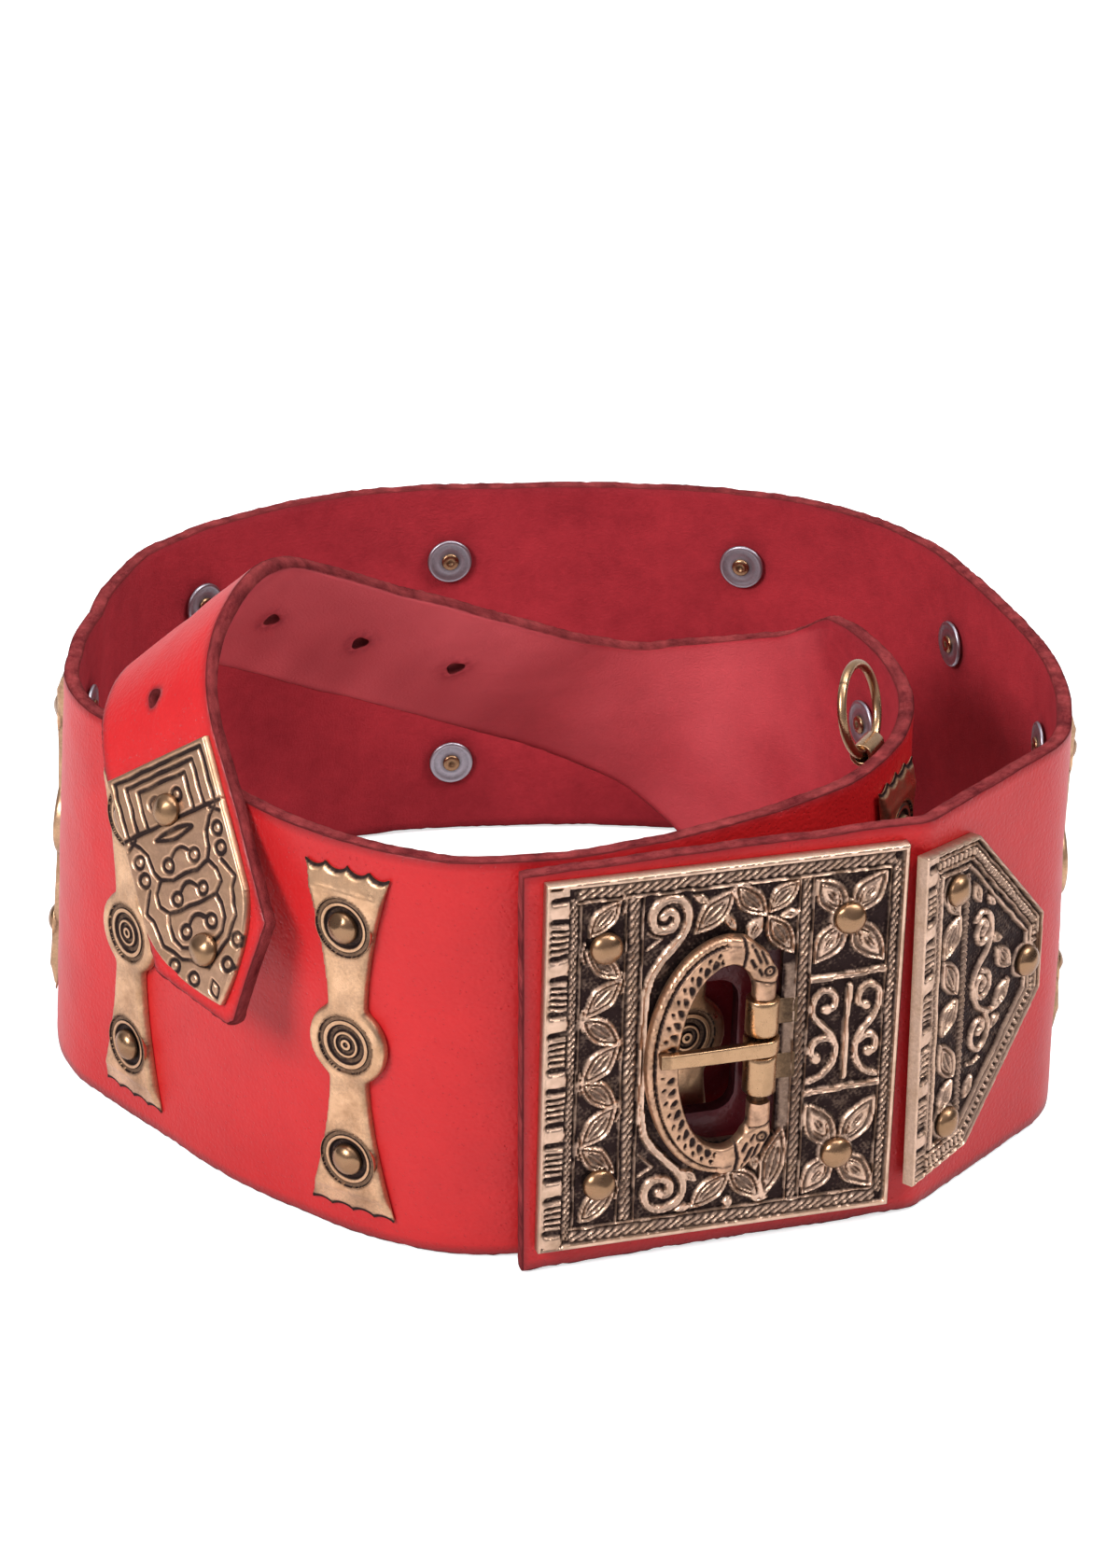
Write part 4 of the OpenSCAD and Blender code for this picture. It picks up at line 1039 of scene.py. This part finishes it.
def build_stiffeners():
    w, h = STIFF_W / 2 + 0.1, STIFF_H / 2 + 0.05
    for i, seat in enumerate(STIFFENERS):
        parts = Parts()
        slab(parts, seat, (-w, w, -h, h), 0.42, stiffener_keep, stiffener_top, stiffener_tone)
        for cy in MOTIFS_Y:
            r, z = motif_profile(cy != 0)
            foot = [(0, MOTIF_FOOT), (r[0], MOTIF_FOOT)]
            pts, faces, row = lathe(np.concatenate([foot, np.stack([r, STIFF_T + 0.02 + z], -1)]), 64)
            # darker with depth as patina in the grooves, and darker on the grooves' steep walls as painted
            # shade
            wall = np.abs(np.gradient(z, r))
            tone = np.clip(0.95 + 0.95 * z - 0.42 * np.minimum(wall, 1.8), 0, 1)
            parts.add(seat, pts + (0, cy, 0), faces, np.concatenate([[0, 0], tone])[row])
        parts.finish(f"propeller_{i + 1}", SATIN, nodes=[f"stiffener_{i + 1}"], slot="polished_brass",
                     sharp=50)


def end_keep(x, y):
    """Distance inside the strap end: straight sides, then curves drawn in to a point."""
    t = np.clip((x - 35.0) / (END_L - 35.0), 0, 1)
    side = END_W / 2 * (1 - t**1.75) - np.abs(y)
    return np.minimum(np.minimum(x, END_L - x), side * (0.99 - 0.34 * (x > 38)))


def end_engraving(x, y):
    """Engraving of the strap end, 1 on a line: nested frames, lobes with ringed dots, a scalloped border."""
    x, y = x + 0.16 * wobble(x, y, 8, 61), y + 0.16 * wobble(x, y, 8, 62)
    lines = []
    for k in range(3):
        a, b = 1.7 + 2.0 * k, 13.9 - 3.2 * k
        lines.append([(14.3, -b), (a, -b), (a, b), (14.3, b)])
    lines.append([(14.7, -15.2), (14.7, 15.2)])
    lens = np.linspace(-1, 1, 13)
    lines.append([(17.6 + 1.2 * (1 - q * q), 5.8 * q) for q in lens])
    lines.append([(17.6 - 0.9 * (1 - q * q), 5.8 * q) for q in lens])
    for side in (-1, 1):
        for path in (
            [(15.6, 13.6), (17.4, 11.2), (20.0, 9.4), (24.0, 9.0), (26.4, 7.4), (27.4, 4.0), (27.2, 0)],
            [(26.4, 7.4), (28.8, 9.6), (32.0, 9.8), (34.2, 7.4), (34.6, 3.4), (34.4, 0)],
            [(34.2, 7.4), (36.6, 8.2), (40.0, 8.2), (42.6, 6.4), (43.8, 3.4), (42.2, 0.6)],
            [(15.4, 12.0), (17.0, 14.6)],
            [(27.6, 11.6), (29.6, 12.8), (32.4, 14.2), (34.4, 12.9), (38.0, 11.9), (40.4, 11.6), (42.6, 9.4),
             (45.0, 7.4), (46.2, 4.6), (49.0, 0.1)],
        ):
            lines.append([(px, side * py) for px, py in path])
    for cx in (21.4, 29.7, 37.3):
        lines.append([(cx + 1.0 - 1.5 * (1 - q * q), 2.6 * q) for q in lens])
    h = np.zeros(x.shape)
    for path in lines:
        d, _ = to_segments(x, y, path)
        h = np.maximum(h, smooth(d, 0.74, 0.28))
    dots = [(9.6, 3.5)] + [(cx, 4.1) for cx in (24.0, 31.9, 39.6)]
    dots += [(20.6, 12.6), (25.0, 12.2), (45.8, 10.0), (50.2, 5.4)]
    for side in (-1, 1):
        for cx, cy in dots:
            d = np.hypot(x - cx, y - side * cy)
            h = np.maximum(h, smooth(np.abs(d - 1.45), 0.72, 0.30))
    tip = np.abs((np.abs(x - 54.2) / 2.1) ** 1.6 + np.abs(y) / 1.2 - 1)
    return np.maximum(h, smooth(tip, 0.5, 0.2))


def build_strap_end():
    def top(x, y):
        return bevel(end_keep(x, y), END_T, 0.5) - 0.42 * end_engraving(x, y) + 0.03 * wobble(x, y, 6, 63)

    def tone(x, y, z):
        return np.clip(0.90 - 0.85 * end_engraving(x, y) + 0.14 * wobble(x, y, 9, 64), 0, 1)

    parts = Parts()
    slab(parts, STRAP_END, (0, END_L, -END_W / 2, END_W / 2), 0.26, end_keep, top, tone)
    parts.finish("engraved_strap_end", AGED, nodes=["strap_end"], slot="polished_brass", sharp=50)


# rivets and washers

DOME_R, DOME_H, SHANK_R, WASHER_R, WASHER_T, PEEN_H = 3.8, 2.9, 1.5, 5.9, 1.0, 0.7
COVER = LEATHER_T + SEAT + WASHER_SEAT + WASHER_T


def dome_profile(t):
    """Domed head: a thin rim, then a quarter ellipse a little flattened on top, as peened by hand."""
    a = np.radians(np.linspace(0, 90, 15))
    dome = np.stack([DOME_R * np.cos(a), t + 0.25 + (DOME_H - 0.25) * np.sin(a) ** 0.92], -1)
    return np.concatenate([[(SHANK_R, t + 0.01), (DOME_R - 0.15, t + 0.01), (DOME_R, t + 0.12)], dome])


def tail_profile(back):
    """Shank end spread over the washer, from its pit upward: a low mushroom with the punch's pit."""
    return np.array([
        (0, 0.42), (0.5, 0.36), (0.72, 0.05), (SHANK_R - 0.25, 0), (SHANK_R + 0.5, 0.10),
        (SHANK_R + 0.8, 0.38), (SHANK_R + 0.75, PEEN_H - 0.02), (SHANK_R, PEEN_H + 0.6),
    ]) - (0, back)


def build_rivets(name, node, seats, t, under_clip):
    """Domes, shanks and spread ends of one group, at seats (Seat, x, y).

    under_clip is the number of the rivet that holds the ring clip, or None.
    """
    parts = Parts()
    for k, (seat, x, y) in enumerate(seats):
        back = COVER + PEEN_H + (CLIP_T if k == under_clip else 0.0)
        hit = rng.uniform(-1, 1, 4)
        pts, faces, _ = lathe(np.concatenate([tail_profile(back), dome_profile(t)]), 36)
        r = np.hypot(pts[:, 0], pts[:, 1])
        high = np.clip(pts[:, 2] - t, 0, None)
        # a hammer's facets: the dome is pushed in a little towards two directions
        for a in hit[:2] * np.pi:
            side = (pts[:, 0] * np.cos(a) + pts[:, 1] * np.sin(a)) * 0.55 + high * 0.83
            pts[:, 2] -= np.clip(side - 2.75, 0, None) * 0.5 * (high > 0.3)
        pts[:, :2] += hit[2:] * 0.10
        tone = np.where(pts[:, 2] > t, 0.5 + 0.5 * smooth(high, 0.2, 1.4), 0.45 + 0.5 * smooth(r, 0.4, 1.2))
        parts.add(seat, pts + (x, y, 0), faces, tone)
    parts.finish(name, PIN, nodes=[node], slot="pin_brass", sharp=60)


def build_washers(name, node, seats):
    """Steel washers with a rolled rim, rubbed about the pin."""
    parts = Parts()
    rim = [(WASHER_R - 0.3, 0.02), (WASHER_R, 0.30), (WASHER_R, 0.72), (WASHER_R - 0.3, 0.95)]
    inside = [(1.62, 0.95), (1.62, 0.2), (1.9, 0.04), (2.6, 0.06), (3.3, 0.22)]
    profile = inside + [(WASHER_R - 1.25, 0.16), (WASHER_R - 0.8, 0.0)] + rim + inside[:1]
    for seat, x, y in seats:
        pts, faces, _ = lathe(profile, 48)
        r = np.hypot(pts[:, 0], pts[:, 1])
        tone = 0.62 + 0.38 * smooth(r, 2.6, 3.6) - 0.3 * bell(r - 4.6, 0.35)
        parts.add(seat, pts + (x, y, -COVER), faces, tone)
    parts.finish(name, STEEL, nodes=[node], slot="washer_steel", sharp=50)


def build_fasteners():
    """Rivets and washers of the four groups. The ring clip takes the place of one stiffener's washer."""
    plate = [(BUCKLE, x * RIVET_X, y * RIVET_Y) for x in (-1, 1) for y in (-1, 1)]
    counter = [(COUNTER, COUNTER_RIVET_X, y * RIVET_Y) for y in (1, -1)]
    counter.append((COUNTER, COUNTER_W - TIP_RIVET, 0.0))
    bars = [(seat, 0.0, y * RIVETS_U) for seat in STIFFENERS for y in (1, -1)]
    end = [(STRAP_END, x, 0.0) for x in END_RIVETS]
    groups = [
        ("buckle_plate", "plate", plate, PLATE_T, None), ("counter_plate", "counter", counter, PLATE_T, None),
        ("stiffeners", "stiffener", bars, STIFF_T - 0.55, 2 * CLIP_STIFFENER),
        ("strap_end", "strap_end", end, END_T, None),
    ]
    for name, node, seats, t, under_clip in groups:
        build_rivets("domes_of_" + name, node + "_rivets", seats, t, under_clip)
    for name, node, seats, _, under_clip in groups:
        washed = [seat for k, seat in enumerate(seats) if k != under_clip]
        build_washers("washers_of_" + name, node + "_washers", washed)


# buckle ring, bar, sleeves and tongue

RING_REACH, RING_TOP, RING_BAND = 18.8, 29.7, 7.2
RING_IN_X, RING_IN_Y = RING_REACH - RING_BAND, RING_TOP - RING_BAND * 0.89
BAR_X, BAR_Z, BAR_R = 8.2, 4.4, 1.5
HEAD_Y, KNUCKLE_R, KNUCKLE_L = 13.7, 2.7, 4.4
RING_Z, RING_T = PLATE_T + SEAT, 3.3
RING_HIGH = RING_Z + RING_T


def polygon_distance(x, y, corners):
    """Distance inside a closed outline, below zero outside: the nearest side, signed by the even-odd rule."""
    closed = [*corners, corners[0]]
    inside = np.zeros(x.shape, bool)
    for (ax, ay), (bx, by) in zip(closed[:-1], closed[1:]):
        if ay != by:
            inside ^= ((ay > y) != (by > y)) & (x < ax + (y - ay) * (bx - ax) / (by - ay))
    d, _ = to_segments(x, y, closed)
    return np.where(inside, d, -d)


def ring_outlines():
    """Outer and inner edges of the ring above its middle: ellipse, brow, cheek and muzzle."""
    a = np.radians(np.linspace(180, 90, 32))
    outer = list(zip(RING_REACH * np.cos(a), RING_TOP * np.sin(a)))
    outer += [(3.2, 29.25), (4.6, 28.5), (6.6, 26.6), (8.3, 25.2), (9.4, 23.0), (10.75, 20.7), (10.85, 16.0),
              (10.5, HEAD_Y)]
    inner = [(5.75, HEAD_Y), (5.4, 17.0), (4.95, 18.6), (4.1, 20.6), (2.4, 22.5), (1.0, 23.1)]
    inner += list(zip(RING_IN_X * np.cos(a[::-1]), RING_IN_Y * np.sin(a[::-1])))
    return outer, inner


RING_OUTER, RING_INNER = ring_outlines()


def ring_keep(x, y):
    """Distance inside the ring's outline. The lower muzzle is longer, to meet its side of the bar."""
    corners = [(p, q) for p, q in RING_OUTER + RING_INNER if q > 1e-6]
    corners = [(-RING_REACH, -3.0)] + corners + [(-RING_IN_X, -3.0)]
    longer = HEAD_Y + (-y - 12.4) * 4.3 / 5.6
    return polygon_distance(x, np.where((y < 0) & (x > 0) & (y > -18.0), longer, np.abs(y)), corners)


def muzzle(x, y):
    """1 on the snout that holds the bar, 0 on the flat head and band."""
    return smooth(np.abs(y), 19.8, 17.6) * (x > 0)


def head_marks(x, ay):
    """Depth, 0 to 1, of the cuts on a head: neck line, brow slashes, ringed eye, nostril and lip."""
    neck, _ = to_segments(x, ay, [(2.6, 22.2), (3.3, 26.0), (2.5, 29.8)])
    eye = np.hypot(x - 8.7, ay - 20.9)
    h = np.maximum(ridge(neck, 0.45), np.maximum(ridge(eye - 1.05, 0.45), smooth(eye, 0.45, 0.1)))
    for x0, y0, x1, y1, w in (
        (5.0, 26.7, 6.5, 23.5, 0.5), (6.6, 26.0, 8.0, 22.9, 0.45), (4.4, 24.0, 5.2, 22.4, 0.5),
        (6.2, 21.6, 6.9, 20.2, 0.42), (4.2, 28.0, 4.5, 27.4, 0.35), (5.8, 18.6, 10.6, 17.7, 0.3),
    ):
        d, _ = to_segments(x, ay, [(x0, y0), (x1, y1)])
        h = np.maximum(h, smooth(d, w + 0.12, w - 0.3))
    return h


def ring_edges(x, y):
    """Distances to the ring's outer and inner edge."""
    return to_segments(x, np.abs(y), RING_OUTER)[0], to_segments(x, np.abs(y), RING_INNER)[0]


def ring_top(x, y):
    """Rounded outer step with fine notches, a flat band with punched drops and dots, and the two heads."""
    ay = np.abs(y)
    out, inn = ring_edges(x, y)
    angle = np.arctan2(ay / RING_TOP, -x / RING_REACH)
    band = smooth(x, 2.2, 1.2) * smooth(angle, 1.56, 1.50)
    rim = 0.95 * (1 - smooth(out, 1.6, 2.0)) - 0.34 * ridge(out - 0.95, 0.75)
    notch = np.abs(np.sin(angle * 46)) ** 0.8
    z = RING_HIGH - band * (rim + 0.22 * (1 - notch) * smooth(out, 1.9, 1.4))
    z = z - 0.30 * band * ridge(out - 1.75, 0.32)
    z = z - 0.5 * (np.clip(0.6 - np.minimum(out, inn), 0, None) / 0.6) ** 2
    # drops by the inner edge and dots between them
    pitch = 0.142
    for row, size, phase in ((0.70, 1.02, 0.3), (0.44, 0.56, 0.8)):
        centre = (out + inn) * row + 0.35
        k = angle / pitch - phase
        reach = np.hypot(RING_REACH * np.sin(angle), RING_TOP * np.cos(angle)) - centre * 0.9
        da, dr = (k - np.round(k)) * pitch * reach, out - centre
        drop = np.hypot(da / (size * (1.0 + 0.45 * np.clip(dr / size, -1, 1))), dr / (size * 1.2))
        z = z - 0.50 * smooth(drop, 1.1, 0.6) * (angle < 1.44) * (ay > 2.6) * (x < 2.0)
    # the head stands a little above the band and rounds over to the snout about the bar
    m = muzzle(x, y)
    crown = BAR_Z + np.sqrt(np.clip((KNUCKLE_R + 0.1) ** 2 - (x - BAR_X) ** 2, 0.04, None))
    z = z + 0.30 * smooth(x + 0.25 * (ay - 26), 3.0, 3.6) * (1 - m) + 0.18 * bell(x - 7.6, 2.2) * (x > 3)
    z = z * (1 - m) + crown * m
    return z - 0.42 * head_marks(x, ay) * (x > 2.0) + 0.09 * wobble(x, y, 3.0, 71)


def ring_bottom(x, y):
    """Flat over the plate, and round under the bar at the two snouts."""
    m = muzzle(x, y)
    low = BAR_Z - np.sqrt(np.clip(KNUCKLE_R**2 - (x - BAR_X) ** 2, 0.04, None))
    return RING_Z * (1 - m) + low * m


def ring_tone(x, y, z):
    """Dark in the punch marks and along the step's foot, bright on the band."""
    out, inn = ring_edges(x, y)
    low = np.where((out < 1.75) & (x < 2.0), RING_HIGH - 0.75, RING_HIGH)
    drop = np.clip(low - z - 0.12, 0, None) * (np.minimum(out, inn) > 0.35)
    m = muzzle(x, y)
    tone = 0.84 + 0.16 * wobble(x, y, 5.0, 72) - 2.2 * drop * (1 - m) * (x < 2.6)
    tone = tone - 0.45 * np.clip(RING_HIGH - 0.3 - z, 0, None) * m
    tone = tone - 0.85 * head_marks(x, np.abs(y)) * (x > 2.0) - 0.35 * ridge(out - 1.75, 0.35) * (x < 2)
    return np.clip(tone, 0.02, 1)


def hinge_round(y0, y1, r, c, n, bore=0.0):
    """Points and faces of a bar or tube along y about the hinge's middle, with chamfers of c."""
    profile = [(bore, y0), (r - c, y0), (r, y0 + c)] + [(r, q) for q in np.linspace(y0 + c, y1 - c, 7)[1:-1]]
    profile += [(r, y1 - c), (r - c, y1), (bore, y1)] + ([(bore, y0)] if bore else [])
    pts, faces, _ = lathe(profile, n)
    return np.stack([BAR_X + pts[:, 1], pts[:, 2], BAR_Z + pts[:, 0]], -1), faces


def sweep(path, width, thick, across, round_by, shift=0.0):
    """A strip of a given width and thickness along a plane path: the section's corners are rounded.

    path is (m, 2) in the plane of the two local axes that are not across, and z is the second. across is 0
    when the width runs along local x and 1 when it runs along y; shift moves the strip that way. Returns the
    points and the faces; the last two points are the middles of the ends.
    """
    path = np.asarray(path, float)
    t = np.gradient(path, axis=0)
    t /= np.hypot(*t.T)[:, None]
    n = np.stack([-t[:, 1], t[:, 0]], -1)
    w, h, r = np.broadcast_to(width, len(path)) / 2, np.broadcast_to(thick, len(path)) / 2, round_by
    ring = []
    for sx, sy, a0 in ((1, 1, 0), (-1, 1, 90), (-1, -1, 180), (1, -1, 270)):
        for a in np.radians([a0, a0 + 30, a0 + 60, a0 + 90]):
            flat = path + n * (sy * (h - r) + r * np.sin(a))[:, None]
            ring.append(np.insert(flat, across, sx * (w - r) + r * np.cos(a) + shift, axis=1))
    pts = np.stack(ring, 1)
    m, k = pts.shape[:2]
    first, last = np.arange(k), np.arange(k) + (m - 1) * k
    faces = [grid_faces(m, k, True), fan(first, m * k, True), fan(last, m * k + 1)]
    if across == 0:
        faces = [f[:, ::-1] for f in faces]
    return np.concatenate([pts.reshape(-1, 3), [pts[0].mean(0), pts[-1].mean(0)]]), faces


def strip_tone(pts, tone):
    """Tone of a swept strip from one value for each point of its path."""
    return np.concatenate([np.repeat(tone, (len(pts) - 2) // len(tone)), [0.7, 0.7]])


HINGE_UP = 2.1
SLEEVE_R, SLEEVE_L, LEAF_W = 3.8, 8.8, 6.3
TONGUE_W, TONGUE_T, TONGUE_EYE, TONGUE_REACH = 3.8, 2.2, 4.1, 16.4
NOTCH_R = BAR_X + SLEEVE_R + 1.5


def build_ring():
    parts = Parts()
    slab(parts, BUCKLE, (-19.0, 11.2, -30.0, 30.0), 0.27, ring_keep, ring_top, ring_tone, ring_bottom)
    parts.finish("cast_ring", AGED, body="ring", nodes=["buckle_ring"], slot="polished_brass", sharp=55)
    parts = Parts()
    end = HEAD_Y + KNUCKLE_L - 0.65
    parts.add(BUCKLE, *hinge_round(-end, end, BAR_R, 0.3, 32), 0.3)
    parts.finish("hinge_pin", PIN, body="ring", nodes=["hinge_bar"], slot="pin_brass", sharp=50)


def build_sleeve(side, name):
    """A folded strip: a tube round the bar, whose lap shows as a line, and a leaf let in to the plate."""
    parts = Parts()
    cy = HINGE_UP + side * (TONGUE_W + 1.4 + SLEEVE_L) / 2
    low = cy - SLEEVE_L / 2 - (0.8 if side < 0 else 0.0)
    pts, faces = hinge_round(low, cy + SLEEVE_L / 2, SLEEVE_R, 0.35, 72, BAR_R + 0.06)
    lap = bell(np.arctan2(pts[:, 2] - BAR_Z, pts[:, 0] - BAR_X) - 0.25, 0.05)
    parts.add(BUCKLE, pts, faces, 0.95 - 0.75 * lap)
    path = [(BAR_X + 2.2, 2.05), (BAR_X + 3.0, 1.75), (NOTCH_R, 1.75), (NOTCH_R + 1.5, 1.78),
            (NOTCH_R + 3.8, 1.78)]
    pts, faces = sweep(path, LEAF_W, 1.45, 1, 0.3, cy - (SLEEVE_L - LEAF_W - 0.1) * 0.42)
    parts.add(BUCKLE, pts, faces, strip_tone(pts, [0.8, 0.6, 0.4, 0.3, 0.3]))
    parts.finish(f"rolled_sleeve_{name}", DRAWN, nodes=[f"hinge_sleeve_{name}"], slot="polished_brass",
                 sharp=50)


def build_tongue():
    """A bar laid over the ring and rolled round the hinge's bar."""
    parts = Parts()
    z_mid = RING_HIGH + SEAT + TONGUE_T / 2
    eye_z, r = z_mid + TONGUE_T / 2 - TONGUE_EYE, TONGUE_EYE - TONGUE_T / 2
    xs = np.linspace(-TONGUE_REACH, BAR_X, 30)
    sag = 0.10 * np.sin(np.pi * np.clip((xs + TONGUE_REACH) / 20, 0, 1))
    path = list(zip(xs, z_mid + sag))
    path += [(BAR_X + r * np.sin(a), eye_z + r * np.cos(a)) for a in np.radians(np.linspace(6, 292, 40))]
    along = np.linspace(0, 1, len(path))
    width = np.where(along < 0.43, TONGUE_W - 0.35 * (0.43 - along) / 0.43, TONGUE_W)
    thick = np.where(along < 0.02, TONGUE_T - 0.5, TONGUE_T)
    pts, faces = sweep(path, width, thick, 1, 0.42, HINGE_UP)
    parts.add(BUCKLE, pts, faces, strip_tone(pts, np.where(along < 0.03, 0.7, 0.96)))
    parts.finish("rolled_tongue", DRAWN, body="tongue", nodes=["tongue"], slot="polished_brass", sharp=55)


def build_buckle():
    build_ring()
    build_sleeve(1, "upper")
    build_sleeve(-1, "lower")
    build_tongue()


# clip and suspension ring

EYE_UP, EYE_R, CLIP_W, CLIP_T = 48.5, 1.75, 8.5, 1.0
WIRE_R, SUSP_R, SUSP_LEAN = 1.1, 11.5, 13.0
JOINT_AT = 2.2
CLIP_FACE = -(LEATHER_T + SEAT + WASHER_SEAT)
EYE_Z = CLIP_FACE - EYE_R - CLIP_T


def build_clip():
    """A strip folded round the wire ring, its tail under a stiffener's top rivet, and the wire ring."""
    seat = STIFFENERS[CLIP_STIFFENER]
    tail, r = RIVETS_U - 0.65 * CLIP_W, EYE_R + CLIP_T / 2
    turn = np.radians(np.linspace(90, 90 - 300, 40))
    path = [(y, CLIP_FACE - CLIP_T / 2) for y in np.linspace(tail, EYE_UP - 0.5, 12)]
    path += [(EYE_UP + r * np.cos(a), EYE_Z + r * np.sin(a)) for a in turn]
    path += [(y, CLIP_FACE - 1.5 * CLIP_T) for y in np.linspace(EYE_UP - r - 0.6, tail + 0.4, 12)]
    parts = Parts()
    parts.add(seat, *sweep(path, CLIP_W, CLIP_T - 0.02, 0, 0.18), 0.92)
    parts.finish("folded_clip", DRAWN, nodes=["ring_clip"], slot="polished_brass", sharp=50)
    parts = Parts()
    a, b = (np.linspace(0, 2 * np.pi, n, endpoint=False) for n in (120, 20))
    a, b = np.meshgrid(a, b, indexing="ij")
    wire = WIRE_R * (1 - 0.10 * bell(a - JOINT_AT, 0.02))
    out = SUSP_R - WIRE_R + wire * np.cos(b)
    x, y, z = out * np.cos(a), out * np.sin(a) + SUSP_R - EYE_R + 0.1, wire * np.sin(b)
    lean = np.radians(SUSP_LEAN)
    c, s = np.cos(lean), np.sin(lean)
    pts = np.stack([x, EYE_UP + y * c + z * s, EYE_Z + z * c - y * s], -1).reshape(-1, 3)
    tone = 1.0 - 0.6 * bell(a - JOINT_AT, 0.03).ravel()
    parts.add(seat, pts, [grid_faces(*a.shape, True, True)[:, ::-1]], tone)
    parts.finish("wire_ring", DRAWN, body="hanging_ring", nodes=["suspension_ring"], slot="polished_brass")


# floor, light and camera

PITCH, ROLL, HEADING = np.radians(25.573), np.radians(0.311), np.radians(17.534)
DISTANCE = 1.0602
TARGET = np.array([0.00708, 0.13919, 0.050])
FOCAL_PX, PHOTO_W = 4500.0, 1200.0
SENSOR = 36.0
FLOOR_DROP = 0.0006
LEVEL = np.array([np.sin(HEADING), np.cos(HEADING), 0.0])
SIDE = np.array([np.cos(HEADING), -np.sin(HEADING), 0.0])


def paper_material():
    """Pale paper that the camera and the metal see as white, and that keeps the belt's shadow."""
    m, k, shader = material("paper")
    ray = k.node("LightPath")
    seen = k.add(k.times(ray["Is Camera Ray"], 0.66), k.times(ray["Is Glossy Ray"], 0.30))
    k.feed(shader, {"Base Color": (0.62, 0.62, 0.63, 1), "Roughness": 0.95, "Specular IOR Level": 0.1,
                    "Emission Color": (1, 1, 1, 1), "Emission Strength": seen})
    return m


def area_light(name, place, aim, size, power):
    """A square lamp of a given size and power in watts, turned to its aim."""
    light = bpy.data.lights.new(name, "AREA")
    light.size, light.energy = size, power
    o = bpy.data.objects.new(name, light)
    bpy.context.scene.collection.objects.link(o)
    o.location = place
    o.rotation_euler = (Vector(aim) - Vector(place)).to_track_quat("-Z", "Y").to_euler()


def build_stage():
    """Pale sweep: a floor that rises behind the belt in a broad curve."""
    a = np.radians(np.linspace(0, 90, 16))
    run = np.concatenate([[-2.2], 0.9 + 0.8 * np.sin(a), [1.7]])
    rise = np.concatenate([[0], 0.8 - 0.8 * np.cos(a), [3.2]]) - FLOOR_DROP
    cols = np.linspace(-3, 3, 9)
    centre = np.array([0.0, 0.12, 0.0])
    pts = [centre + LEVEL * r + SIDE * c + (0, 0, h) for r, h in zip(run, rise) for c in cols]
    mesh = bpy.data.meshes.new("sweep")
    mesh.from_pydata([tuple(p) for p in pts], [], grid_faces(len(run), len(cols)).tolist())
    mesh.materials.append(paper_material())
    mesh.shade_smooth()
    paper = bpy.data.objects.new("paper_sweep", mesh)
    bpy.context.scene.collection.objects.link(paper)


def build_light():
    """Soft light from the upper left, with darker surroundings below for the metal to mirror."""
    world = bpy.data.worlds.new("studio")
    bpy.context.scene.world = world
    world.use_nodes = True
    k = Nodes(world.node_tree)
    way = k.node("TexCoord")["Generated"]
    up = k.node("SeparateXYZ", {0: way})[2]
    front = k.node("VectorMath", {0: way, 1: (-0.55, -0.83, 0.0)}, operation="DOT_PRODUCT")["Value"]
    lit = k.mix(k.span(front, -0.2, 0.75, 0.0, 1.0), (0.09, 0.085, 0.10), (0.50, 0.485, 0.53))
    lit = k.mix(k.span(up, 0.25, 0.85, 0.0, 1.0), lit, (1.0, 0.97, 1.04))
    lit = k.mix(k.node("LightPath")["Is Camera Ray"], lit, (1.39, 1.39, 1.39))
    k.feed(world.node_tree.nodes["Background"], {"Color": lit, "Strength": 0.72})
    area_light("key_left", (-1.05, -0.45, 0.85), (-0.02, 0.05, 0.05), 0.5, 18)
    area_light("top_soft", (0.10, 0.05, 1.35), (0, 0.10, 0), 0.8, 8)
    area_light("fill_right", (0.75, -0.35, 1.05), (-0.02, 0.12, 0.08), 0.5, 10)


def build_camera():
    """The photograph's view."""
    fwd = LEVEL * np.cos(PITCH) - np.array([0, 0, np.sin(PITCH)])
    up = np.cross(SIDE, fwd)
    c, s = np.cos(ROLL), np.sin(ROLL)
    camera = bpy.data.cameras.new("camera")
    camera.sensor_fit = "HORIZONTAL"
    camera.sensor_width = SENSOR
    camera.lens = FOCAL_PX / PHOTO_W * SENSOR
    camera.clip_start, camera.clip_end = 0.05, 20
    o = bpy.data.objects.new("camera", camera)
    bpy.context.scene.collection.objects.link(o)
    m = np.eye(4)
    m[:3] = np.stack([c * SIDE + s * up, c * up - s * SIDE, -fwd, TARGET - fwd * DISTANCE], -1)
    o.matrix_world = Matrix(m.tolist())
    bpy.context.scene.camera = o


for build in (build_leather, build_plates, build_stiffeners, build_strap_end, build_fasteners, build_buckle,
              build_clip, build_stage, build_light, build_camera):
    build()
bpy.context.scene.view_settings.view_transform = "Standard"
